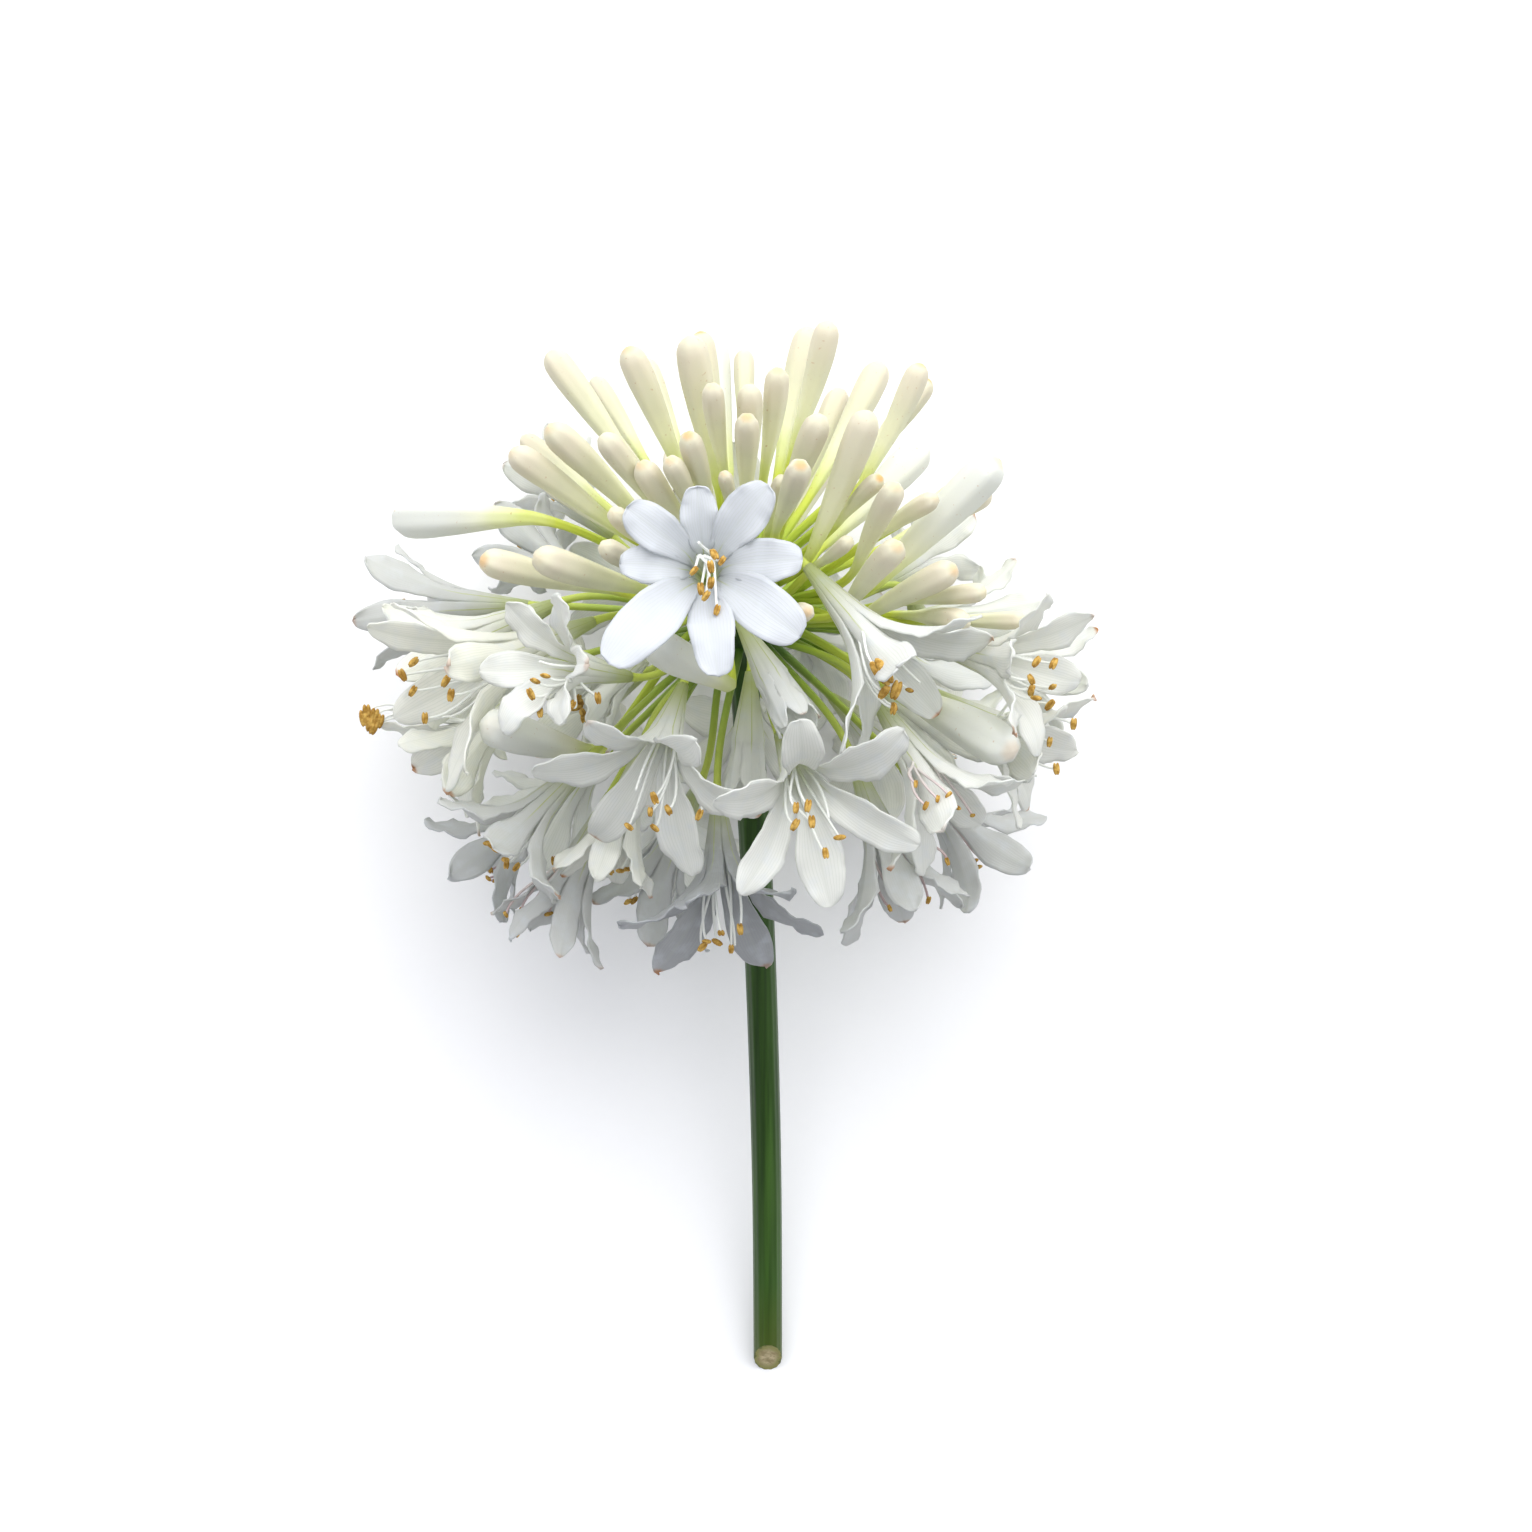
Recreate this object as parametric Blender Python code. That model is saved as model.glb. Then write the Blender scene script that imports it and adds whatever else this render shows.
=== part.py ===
"""White agapanthus flower head on its cut green stem, lying face up.

Lengths are in millimetres up to the moment a mesh is made. They are measured from the umbel's
centre, the point all flower stalks spring from: +X to the picture's right, +Y along the stem
toward the head, +Z up. The head rests on its lowest florets and on the foot of the stem. The
finished objects are moved together so that the origin lies under the middle of the whole.
"""

import math
import random

import bpy
from mathutils import Matrix, Vector
from mathutils.bvhtree import BVHTree

MM = 0.001

# Stem: from the umbel's centre down to the middle of the slanting cut.
STEM_LENGTH = 220.2
STEM_RADIUS_FOOT = 4.0
STEM_RADIUS_TOP = 4.4
STEM_SIDES = 12
STEM_DRIFT = 6.6
CUT_SLANT = math.radians(57.0)
RECEPTACLE_RADIUS = 10.0
LIE_ANGLE = math.radians(18.6)

# Open florets.
TUBE_LENGTH = 18.0
TUBE_FOOT_RADIUS = 1.25
MOUTH_RADIUS = 4.3
THROAT_DEPTH = 6.0
THROAT_RADIUS = 1.6
TEPAL_THICKNESS = 1.2
OUTER_WIDTH = 11.2
INNER_WIDTH = 13.4
PEDICEL_RADIUS = 1.1
FLORET_GAP = 0.35
CLEARANCE = 0.3

# Buds.
BUD_SIDES = 6
BUD_FOOT_RADIUS = 1.15
BUD_PROFILE = ((0.0, 0.36), (0.38, 0.74), (0.74, 1.04), (0.94, 0.76))
BUD_LENGTH_RATIO = 5.0
BUD_LONGEST = 44.0
CLUSTER_SIZE = 4
CLUSTER_SPREAD = math.radians(30.0)
FOREMOST_FLORETS = 5
LOWEST_CLUSTERS = 3

# The picture: umbel centre in pixels, scale, viewing distance, and rise of the view over the
# umbel's equator.
PICTURE_CENTRE = (745.0, 620.0)
PIXELS_PER_MM = 3.75
VIEW_DISTANCE = 800.0
VIEW_RISE = math.radians(15.0)

# Open florets on the near side: name, foot of the tube and mouth of the tube as picture x,
# picture y and height toward the viewer in mm, then how far it is open, from 0 shut to 1 flat,
# and the length of its tepals in mm.
NEAR_FLORETS = (
    ("front", (709, 582, 50), (705, 570, 67), 1.0, 28),
    ("spout", (803, 562, 50), (852, 618, 56), 0.7, 36),
    ("hanging", (680, 694, 42), (665, 736, 52), 0.95, 34),
    ("low_star", (718, 803, 24), (721, 856, 31), 0.85, 32),
    ("low_bell", (782, 728, 42), (790, 762, 57), 0.9, 33),
    ("left_face", (646, 622, 44), (600, 654, 54), 0.75, 27),
    ("left_long", (592, 622, 26), (534, 646, 33), 0.56, 42),
    ("left_over", (556, 604, 8), (500, 628, 4), 0.5, 30),
    ("left_back", (524, 602, -8), (468, 606, -14), 0.45, 31),
    ("left_low", (556, 762, 26), (520, 796, 30), 0.85, 27),
    ("left_under", (566, 788, -4), (526, 822, -6), 0.55, 27),
    ("low_left", (606, 804, 12), (582, 856, 12), 0.36, 29),
    ("left_fold", (636, 750, 26), (602, 798, 28), 0.4, 25),
    ("right_mid", (868, 704, 44), (902, 744, 50), 0.62, 29),
    ("low_right", (862, 772, 28), (882, 822, 31), 0.5, 29),
    ("right_low", (944, 700, 20), (986, 724, 24), 0.66, 27),
    ("right_end", (950, 650, 2), (998, 664, 0), 0.5, 25),
    ("right_face", (940, 642, 30), (984, 668, 37), 0.66, 30),
    ("right_back", (904, 620, -20), (950, 618, -28), 0.5, 25),
    ("far_left", (612, 536, -42), (580, 506, -52), 0.6, 22),
    ("left_up", (594, 584, -28), (560, 566, -38), 0.6, 23),
    ("right_under", (905, 770, -14), (944, 812, -20), 0.6, 28),
    ("far_right", (880, 586, -42), (908, 566, -54), 0.6, 22),
    ("left_mid", (540, 690, -6), (498, 722, -9), 0.6, 29),
    ("right_fan", (882, 654, 10), (934, 676, 10), 0.6, 29),
    ("low_behind", (694, 796, 2), (672, 842, 0), 0.6, 28),
    ("right_fill", (880, 648, -6), (932, 662, -10), 0.6, 29),
    ("left_fill", (654, 668, 24), (614, 704, 26), 0.5, 25),
    ("twisting", (748, 636, 44), (772, 678, 50), 0.0, 16),
    ("narrow", (750, 690, 22), (748, 740, 22), 0.0, 14),
)

# The front floret's eight tepals, anticlockwise from the picture's right: their lengths, and how
# far each leans over sideways.
FRONT_TEPALS = (25.8, 25.8, 18.9, 23.5, 20.1, 41.0, 33.2, 33.0)
FRONT_SWAYS = (-0.8, -0.2, 0.0, 0.9, -0.6, 0.7, 1.0, 0.5)

# Turn of the first tepal from the picture's right, for florets that show how they are turned.
TURNS = {"front": math.radians(4.0), "low_bell": math.radians(-20.0), "hanging": math.radians(-2.0)}

# Buds on the near side: picture x and y of the tip, width in pixels, distance of the tip from
# the umbel's centre in mm, and 1 in front or -1 behind the centre's plane.
NEAR_BUDS = (
    (550, 353, 28, 88, 1), (594, 379, 20, 82, -1), (628, 349, 28, 84, 1),
    (645, 361, 22, 82, -1), (690, 338, 32, 84, 1), (708, 330, 36, 88, -1),
    (712, 386, 22, 80, 1), (744, 352, 20, 80, -1), (778, 370, 24, 80, 1),
    (750, 387, 25, 78, 1), (747, 417, 24, 76, 1), (801, 378, 20, 80, -1),
    (829, 323, 26, 86, 1), (841, 391, 25, 78, -1), (881, 364, 28, 84, -1),
    (821, 418, 28, 80, 1), (795, 440, 18, 72, 1), (688, 435, 24, 76, 1),
    (724, 474, 15, 66, 1), (783, 478, 16, 62, 1), (802, 471, 26, 82, 1),
    (880, 478, 18, 74, 1), (924, 447, 34, 82, -1), (936, 498, 20, 80, 1),
    (850, 540, 16, 68, 1), (985, 592, 20, 84, 1), (1025, 620, 18, 86, 1),
    (549, 428, 30, 84, 1), (512, 452, 28, 86, 1), (556, 479, 16, 72, 1),
    (603, 437, 25, 80, 1), (622, 446, 28, 76, 1), (670, 460, 22, 74, 1),
    (482, 560, 30, 86, 1), (537, 557, 32, 84, 1), (613, 512, 20, 74, 1),
    (603, 546, 22, 76, 1), (808, 612, 20, 70, 1),
)

# Buds that lean away from the centre's line: the same five, then x and y of the bud's foot.
LEANING_BUDS = (
    (398, 520, 38, 96, 1, 560, 517), (488, 725, 42, 90, 1, 580, 750),
    (1013, 752, 44, 92, 1, 930, 708), (655, 645, 40, 76, 1, 712, 676),
    (921, 365, 24, 88, 1, 866, 478), (896, 486, 26, 82, 1, 856, 568),
    (998, 460, 40, 90, 1, 905, 552), (865, 415, 32, 84, 1, 818, 530),
    (957, 636, 24, 80, 1, 895, 628), (898, 546, 28, 80, 1, 848, 606),
    (955, 569, 28, 82, 1, 872, 612),
)

FAR_FLORETS = 11
FAR_BUDS = 11
SEED = 7
FAR_SEED = 1

STEM_UP = Vector((0.0, math.cos(LIE_ANGLE), math.sin(LIE_ANGLE)))
FACE = Vector((0.0, -math.sin(LIE_ANGLE), math.cos(LIE_ANGLE)))
VIEW_LEAN = LIE_ANGLE - VIEW_RISE
PICTURE_UP = Vector((0.0, math.cos(VIEW_LEAN), math.sin(VIEW_LEAN)))
TO_VIEWER = Vector((0.0, -math.sin(VIEW_LEAN), math.cos(VIEW_LEAN)))
RIGHT = Vector((1.0, 0.0, 0.0))
CENTRE_HEIGHT = (
    (STEM_LENGTH + STEM_RADIUS_FOOT * math.tan(CUT_SLANT)) * math.sin(LIE_ANGLE)
    + STEM_RADIUS_FOOT * math.cos(LIE_ANGLE)
)


def from_picture(x, y, depth):
    """Place of a picture point that lies depth mm nearer the viewer than the umbel's centre."""
    scale = (VIEW_DISTANCE - depth) / VIEW_DISTANCE / PIXELS_PER_MM
    right = (x - PICTURE_CENTRE[0]) * scale
    up = (PICTURE_CENTRE[1] - y) * scale
    return RIGHT * right + PICTURE_UP * up + TO_VIEWER * depth


def on_shell(x, y, radius, side):
    """Place of a picture point at a given distance from the umbel's centre."""
    depth = 0.0
    for _ in range(6):
        flat = from_picture(x, y, depth) - TO_VIEWER * depth
        depth = side * math.sqrt(max(radius * radius - flat.length_squared, 0.0))
    return from_picture(x, y, depth)


def side_of(axis):
    """A direction square to the axis, as near to +X as it can be."""
    start = RIGHT if abs(axis.x) < 0.9 else PICTURE_UP
    return (start - axis * start.dot(axis)).normalized()


def placing(foot, axis, roll):
    """Frame with its origin at the foot and local +Z along the axis."""
    x = side_of(axis)
    y = axis.cross(x)
    turn = Matrix((x, y, axis)).transposed().to_4x4()
    return Matrix.Translation(foot) @ turn @ Matrix.Rotation(roll, 4, "Z")


def sweep(points, radii, sides, tip, end_way=None):
    """Closed solid of polygon rings along a path, ending in a point where tip is true."""
    verts = []
    faces = []
    rings = len(points) - 1 if tip else len(points)
    ahead = (points[1] - points[0]).normalized()
    across = side_of(ahead)
    for k in range(rings):
        after = points[min(k + 1, len(points) - 1)]
        before = points[max(k - 1, 0)]
        ahead = (after - before).normalized()
        if end_way and k == rings - 1:
            ahead = end_way
        across = (across - ahead * across.dot(ahead)).normalized()
        other = ahead.cross(across)
        for s in range(sides):
            turn = 2 * math.pi * s / sides
            verts.append(points[k] + (across * math.cos(turn) + other * math.sin(turn)) * radii[k])
    for k in range(rings - 1):
        for s in range(sides):
            a = k * sides + s
            b = k * sides + (s + 1) % sides
            faces.append((a, b, b + sides))
            faces.append((a, b + sides, a + sides))
    faces.extend((0, s + 1, s) for s in range(1, sides - 1))
    last = (rings - 1) * sides
    if tip:
        verts.append(points[-1])
        faces.extend((last + s, last + (s + 1) % sides, rings * sides) for s in range(sides))
    else:
        faces.extend((last, last + s, last + s + 1) for s in range(1, sides - 1))
    return verts, faces


def curve(start, start_way, end, end_way, steps):
    """Points of a smooth stalk from start to end, leaving and arriving along the given ways."""
    reach = (end - start).length
    points = []
    for k in range(steps + 1):
        t = k / steps
        h1 = 2 * t**3 - 3 * t**2 + 1
        h2 = t**3 - 2 * t**2 + t
        h3 = -2 * t**3 + 3 * t**2
        h4 = t**3 - t**2
        points.append(start * h1 + start_way * (h2 * reach) + end * h3 + end_way * (h4 * reach))
    return points


class Floret:
    """One floret: where it stands, how far it is open, and its tepals' own small differences."""

    def __init__(self, name, foot, axis, opening, length, near):
        self.name = name
        self.foot = foot
        self.axis = axis
        self.opening = opening
        self.length = length
        self.near = near
        self.roll = 0.0
        self.tepals = 8 if name == "front" else 6
        self.draw = random.Random(f"{SEED} {name}")
        self.lengths = []
        self.bends = []
        self.sways = []
        for k in range(self.tepals):
            self.lengths.append(length * self.draw.uniform(0.94, 1.05))
            self.bends.append(self.draw.uniform(-0.14, 0.14))
            self.sways.append(self.draw.uniform(-1.0, 1.0))
        if name == "front":
            self.lengths = list(FRONT_TEPALS)
            self.sways = list(FRONT_SWAYS)

    def tepal_angle(self, k, part):
        """Lean of tepal k away from the floret's axis, part of the way along it."""
        first = math.radians(9.0 + 13.0 * self.opening)
        last = math.radians(4.0 + 84.0 * self.opening) + self.bends[k] * (0.3 + self.opening)
        return first + (last - first) * part

    def tepal_centre(self, k, part):
        """Distance from the axis and height of tepal k's middle line."""
        first = self.tepal_angle(k, 0.0)
        turn = self.tepal_angle(k, 1.0) - first
        if abs(turn) < 1e-4:
            turn = 1e-4
        here = first + turn * part
        start = MOUTH_RADIUS * math.cos(math.pi / self.tepals)
        out = start + self.lengths[k] * (math.cos(first) - math.cos(here)) / turn
        up = TUBE_LENGTH + self.lengths[k] * (math.sin(here) - math.sin(first)) / turn
        return out, up

    def tepal_ring(self, k, part, width, grow):
        """Left edge, outer middle, right edge and inner middle of tepal k at one station."""
        out, up = self.tepal_centre(k, part)
        lean = self.tepal_angle(k, part)
        turn = 2 * math.pi * (k + 0.5) / self.tepals
        radial = Vector((math.cos(turn), math.sin(turn), 0.0))
        side = Vector((-math.sin(turn), math.cos(turn), 0.0))
        inward = radial * -math.cos(lean) + Vector((0.0, 0.0, math.sin(lean)))
        cup = (0.17 - 0.2 * part) * width
        room = 1.72 * math.tan(math.pi / self.tepals) * (out - max(cup, 0.0) * math.cos(lean))
        half = min(width, room) / 2
        sway = self.sways[k] * min(2.2, 0.2 * out) * part * self.opening
        middle = radial * out + Vector((0.0, 0.0, up)) + side * sway
        left = middle - side * (half + grow) + inward * cup
        right = middle + side * (half + grow) + inward * cup
        outer = middle - inward * (TEPAL_THICKNESS / 2 + grow)
        inner = middle + inward * (TEPAL_THICKNESS / 2 + grow)
        return [left, outer, right, inner]

    def solid(self, grow=0.0):
        """Vertices and triangles of the whole floret in its own frame."""
        n = self.tepals
        half = math.pi / n
        verts = []
        faces = []
        for i in range(n):
            turn = 2 * half * i
            foot = TUBE_FOOT_RADIUS + grow
            verts.append(Vector((foot * math.cos(turn), foot * math.sin(turn), -grow)))
        corner = len(verts)
        for i in range(n):
            turn = 2 * half * i
            rim = MOUTH_RADIUS + grow
            verts.append(Vector((rim * math.cos(turn), rim * math.sin(turn), TUBE_LENGTH)))
        keel = len(verts)
        start = MOUTH_RADIUS * math.cos(half)
        for i in range(n):
            turn = 2 * half * i + half
            rim = start + TEPAL_THICKNESS / 2 + grow
            verts.append(Vector((rim * math.cos(turn), rim * math.sin(turn), TUBE_LENGTH - 0.2)))
        inside = len(verts)
        for i in range(n):
            turn = 2 * half * i + half
            rim = start - TEPAL_THICKNESS / 2
            verts.append(Vector((rim * math.cos(turn), rim * math.sin(turn), TUBE_LENGTH + 0.2)))
        floor = len(verts)
        deep = TUBE_LENGTH - THROAT_DEPTH
        for i in range(n):
            turn = 2 * half * i
            wide = THROAT_RADIUS
            verts.append(Vector((wide * math.cos(turn), wide * math.sin(turn), deep)))
        pit = len(verts)
        verts.append(Vector((0.0, 0.0, deep)))
        faces.extend((0, i + 1, i) for i in range(1, n - 1))
        for i in range(n):
            j = (i + 1) % n
            faces.append((i, j, keel + i))
            faces.append((i, keel + i, corner + i))
            faces.append((j, corner + j, keel + i))
            faces.append((corner + i, inside + i, floor + i))
            faces.append((inside + i, floor + j, floor + i))
            faces.append((inside + i, corner + j, floor + j))
        self.add_tepals(verts, faces, corner, keel, inside, grow)
        self.add_stamens(verts, faces, floor, pit, grow)
        return verts, faces

    def add_tepals(self, verts, faces, corner, keel, inside, grow):
        """Keeled blades that grow out of the rim, the outer layer narrower than the inner one."""
        for k in range(self.tepals):
            wide = INNER_WIDTH if k % 2 else OUTER_WIDTH
            if self.tepals == 8:
                wide *= 0.86
            ring = [corner + k, keel + k, corner + (k + 1) % self.tepals, inside + k]
            for part, share in ((0.26, 0.66), (0.6, 1.0), (0.89, 0.74)):
                fresh = [len(verts) + s for s in range(4)]
                verts.extend(self.tepal_ring(k, part, wide * share, grow))
                for s in range(4):
                    a, b = ring[s], ring[(s + 1) % 4]
                    c, d = fresh[s], fresh[(s + 1) % 4]
                    if s % 2:
                        faces.extend(((a, b, c), (b, d, c)))
                    else:
                        faces.extend(((a, b, d), (a, d, c)))
                ring = fresh
            out, up = self.tepal_centre(k, 1.0 + grow / 30.0)
            turn = 2 * math.pi * (k + 0.5) / self.tepals
            sway = self.sways[k] * min(2.2, 0.2 * out) * self.opening
            tip = Vector((math.cos(turn), math.sin(turn), 0.0)) * out + Vector((0.0, 0.0, up))
            tip += Vector((-math.sin(turn), math.cos(turn), 0.0)) * sway
            verts.append(tip)
            faces.extend((ring[s], ring[(s + 1) % 4], len(verts) - 1) for s in range(4))

    def add_stamens(self, verts, faces, floor, pit, grow):
        """Stamens on every other side of the throat floor, each swelling to an anther."""
        n = self.tepals
        count = n // 2 - 1 if self.near and self.opening > 0.3 else 0
        reach = 17.0 + 5.0 * min(self.opening, 0.8)
        for i in range(n):
            ring = [floor + i, floor + (i + 1) % n, pit]
            if i % 2 or i // 2 >= count:
                faces.append(tuple(ring))
                continue
            turn = 2 * math.pi * (i + 0.5) / n
            way = Vector((math.cos(turn), math.sin(turn), 0.0))
            bow = 0.16 + 0.05 * (i // 2)
            stations = (
                (TUBE_LENGTH + 1.0, 1.6, 0.6),
                (TUBE_LENGTH + reach - 3.2, 1.8 + reach * bow, 0.55),
                (TUBE_LENGTH + reach - 1.4, 2.2 + reach * bow * 1.15, 1.05),
            )
            for up, out, radius in stations:
                fresh = [len(verts) + s for s in range(3)]
                for s in range(3):
                    angle = turn + math.pi * (2 * s - 1) / 3
                    spoke = Vector((math.cos(angle), math.sin(angle), 0.0)) * (radius + grow)
                    verts.append(way * out + Vector((0.0, 0.0, up)) + spoke)
                for s in range(3):
                    a, b = ring[s], ring[(s + 1) % 3]
                    c, d = fresh[s], fresh[(s + 1) % 3]
                    faces.append((a, b, d))
                    faces.append((a, d, c))
                ring = fresh
            verts.append(way * (2.6 + reach * bow * 1.3) + Vector((0, 0, TUBE_LENGTH + reach + 0.8)))
            faces.extend((ring[s], ring[(s + 1) % 3], len(verts) - 1) for s in range(3))

    def placed(self, grow=0.0):
        """The floret's solid where it stands on the umbel."""
        verts, faces = self.solid(grow)
        frame = placing(self.foot, self.axis, self.roll)
        return [frame @ v for v in verts], faces


class Room:
    """The solids that stand already, so that the next one can be set clear of them."""

    def __init__(self):
        self.items = []

    def add(self, group, solid):
        """Note a solid that stands, with the group it belongs to."""
        verts, faces = solid
        middle = sum(verts, Vector()) / len(verts)
        reach = max((v - middle).length for v in verts)
        self.items.append((group, middle, reach, BVHTree.FromPolygons(verts, faces)))

    def clashes(self, solid, ignored):
        """Number of standing solids the given one would cross."""
        verts, faces = solid
        middle = sum(verts, Vector()) / len(verts)
        reach = max((v - middle).length for v in verts)
        tree = None
        count = 0
        for group, other, size, other_tree in self.items:
            if group in ignored or (other - middle).length > size + reach:
                continue
            if tree is None:
                tree = BVHTree.FromPolygons(verts, faces)
            if tree.overlap(other_tree):
                count += 1
        return count


def near_florets():
    """The florets seen in the picture."""
    florets = []
    for name, foot, mouth, opening, length in NEAR_FLORETS:
        mouth_point = from_picture(*mouth)
        axis = (mouth_point - from_picture(*foot)).normalized()
        start = mouth_point - axis * TUBE_LENGTH
        florets.append(Floret(name, start, axis, opening, length, mouth[2] > 0))
    return florets


def far_florets(florets):
    """Florets on the far side, each set where the ball of flowers is emptiest."""
    draw = random.Random(FAR_SEED)
    taken = [(f.foot + f.axis * 20.0).normalized() for f in florets]
    added = []
    for k in range(FAR_FLORETS):
        best = None
        for _ in range(400):
            way = Vector([draw.gauss(0.0, 1.0) for _ in range(3)]).normalized()
            rise = way.dot(STEM_UP)
            if not -0.82 < rise < 0.28 or way.dot(FACE) > 0.05:
                continue
            # Toward the sides the flowers hang lower, and none shows above the others there.
            if way.dot(PICTURE_UP) > 0.5 - 0.5 * abs(way.x):
                continue
            gap = min(way.angle(other) for other in taken)
            if best is None or gap > best[0]:
                best = (gap, way)
        way = best[1]
        taken.append(way)
        down = max(0.0, -way.z)
        nod = 0.35 if down < 0.5 else 0.0
        axis = (way - STEM_UP * nod).normalized()
        opening = 0.66 + 0.28 * down
        added.append(Floret(f"far_{k + 1:02d}", way * 53.0, axis, opening, 27.0, False))
    return added


class Bud:
    """One bud on its stalk, with the width and length of its swollen part."""

    def __init__(self, tip, width, way=None):
        self.tip = tip
        self.width = width
        self.way = way or tip.normalized()
        self.length = min(max(width * BUD_LENGTH_RATIO, 14.0), BUD_LONGEST)
        self.root = None

    def solid(self, grow=0.0):
        """Stalk and swollen bud as one closed solid."""
        way = self.way
        foot = self.tip - way * self.length
        start = self.root * (RECEPTACLE_RADIUS + 2.0)
        points = curve(start, self.root, foot, way, 2)[:2]
        radii = [1.25 + grow, 1.1 + grow]
        for part, share in BUD_PROFILE:
            points.append(foot + way * (self.length * part))
            radii.append(max(self.width / 2 * share, BUD_FOOT_RADIUS) + grow)
        points.append(self.tip + way * grow)
        return sweep(points, radii, BUD_SIDES, True)


def all_buds():
    """Buds seen in the picture, then those of the far side by the same spacing."""
    buds = []
    for x, y, wide, radius, side in NEAR_BUDS:
        tip = on_shell(x, y, radius, side)
        scale = (VIEW_DISTANCE - tip.dot(TO_VIEWER)) / VIEW_DISTANCE / PIXELS_PER_MM
        buds.append(Bud(tip, wide * scale))
    for x, y, wide, radius, side, foot_x, foot_y in LEANING_BUDS:
        tip = on_shell(x, y, radius, side)
        foot = on_shell(foot_x, foot_y, radius - 31.0, side)
        scale = (VIEW_DISTANCE - tip.dot(TO_VIEWER)) / VIEW_DISTANCE / PIXELS_PER_MM
        buds.append(Bud(tip, wide * scale, (tip - foot).normalized()))
    draw = random.Random(SEED + 1)
    for k in range(FAR_BUDS):
        best = None
        for _ in range(400):
            way = Vector([draw.gauss(0.0, 1.0) for _ in range(3)]).normalized()
            rise = way.dot(STEM_UP)
            if rise < 0.3 or way.dot(FACE) > -0.1:
                continue
            gap = min(way.angle(other.tip) for other in buds)
            if best is None or gap > best[0]:
                best = (gap, way)
        buds.append(Bud(best[1] * draw.uniform(76.0, 84.0), draw.uniform(5.4, 7.4)))
    return buds


def clusters_of(buds):
    """Neighbouring buds put together in fours, those lowest on the umbel first."""
    left = sorted(buds, key=lambda bud: bud.tip.normalized().dot(STEM_UP))
    clusters = []
    while left:
        first = left.pop(0)
        near = sorted(left, key=lambda bud: bud.tip.normalized().angle(first.tip.normalized()))
        group = [first]
        for bud in near[: CLUSTER_SIZE - 1]:
            if bud.tip.normalized().angle(first.tip.normalized()) < CLUSTER_SPREAD:
                group.append(bud)
                left.remove(bud)
        clusters.append(group)
    return clusters


def spread_roots(ways, kinds):
    """Where each stalk leaves the receptacle: near its own way out, but clear of the others."""
    roots = [way.copy() for way in ways]
    for _ in range(300):
        for i in range(len(roots)):
            push = (ways[i] - roots[i]) * 0.02
            for j in range(len(roots)):
                if i == j:
                    continue
                apart = math.radians(13.0 if kinds[i] == kinds[j] == "floret" else 21.0)
                angle = roots[i].angle(roots[j])
                if angle < apart:
                    away = roots[i] - roots[j]
                    if away.length > 1e-6:
                        push += away.normalized() * (apart - angle) * 0.35
            below = roots[i].angle(-STEM_UP)
            if below < math.radians(48.0):
                push += (roots[i] + STEM_UP).normalized() * (math.radians(48.0) - below)
            roots[i] = (roots[i] + push).normalized()
    return roots


def pedicel(root, floret, grow=0.0):
    """Green stalk from inside the receptacle to just below the floret's tube."""
    start = root * (RECEPTACLE_RADIUS - 2.5)
    end = floret.foot - floret.axis * FLORET_GAP
    points = curve(start, root, end, floret.axis, 3)
    radii = [1.3 + grow, PEDICEL_RADIUS + grow, PEDICEL_RADIUS + grow, PEDICEL_RADIUS + grow]
    return sweep(points, radii, 5, False, floret.axis)


def lift_clear(floret):
    """Draw the floret in along its stalk until it only just touches the ground."""
    for _ in range(4):
        verts, _ = floret.placed()
        lowest = min(v.z for v in verts) + CENTRE_HEIGHT
        if lowest >= -1e-6:
            return
        way = floret.foot.normalized()
        if way.z < -0.35:
            floret.foot = floret.foot + way * (lowest / -way.z)
        else:
            floret.foot = floret.foot + Vector((0.0, 0.0, -lowest))


def settle_floret(floret, root, room):
    """Turn, nudge and, if need be, narrow the floret until it and its stalk stand clear."""
    foot, axis, lengths = floret.foot, floret.axis, list(floret.lengths)
    best = None
    for attempt in range(200):
        loose = attempt / 100
        floret.foot = foot + Vector([floret.draw.gauss(0.0, 5.0 * loose) for _ in range(3)])
        tilt = Vector([floret.draw.gauss(0.0, 0.28 * loose) for _ in range(3)])
        floret.axis = (axis + tilt).normalized()
        step = 2 * math.pi / floret.tepals
        floret.roll = floret.draw.uniform(0, step)
        if floret.name in TURNS:
            floret.roll = TURNS[floret.name] - step / 2
        shrink = 1.0 - 0.25 * max(0.0, loose - 0.4)
        floret.lengths = [length * shrink for length in lengths]
        lift_clear(floret)
        crossed = room.clashes(floret.placed(CLEARANCE), ())
        crossed += room.clashes(pedicel(root, floret, CLEARANCE), ("scape", "stem"))
        if best is None or crossed < best[0]:
            best = (crossed, floret.foot.copy(), floret.axis.copy(), floret.roll, floret.lengths)
        if crossed == 0:
            break
    _, floret.foot, floret.axis, floret.roll, floret.lengths = best
    room.add(floret.name, floret.placed())
    room.add("scape", pedicel(root, floret))
    return best[0]


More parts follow.
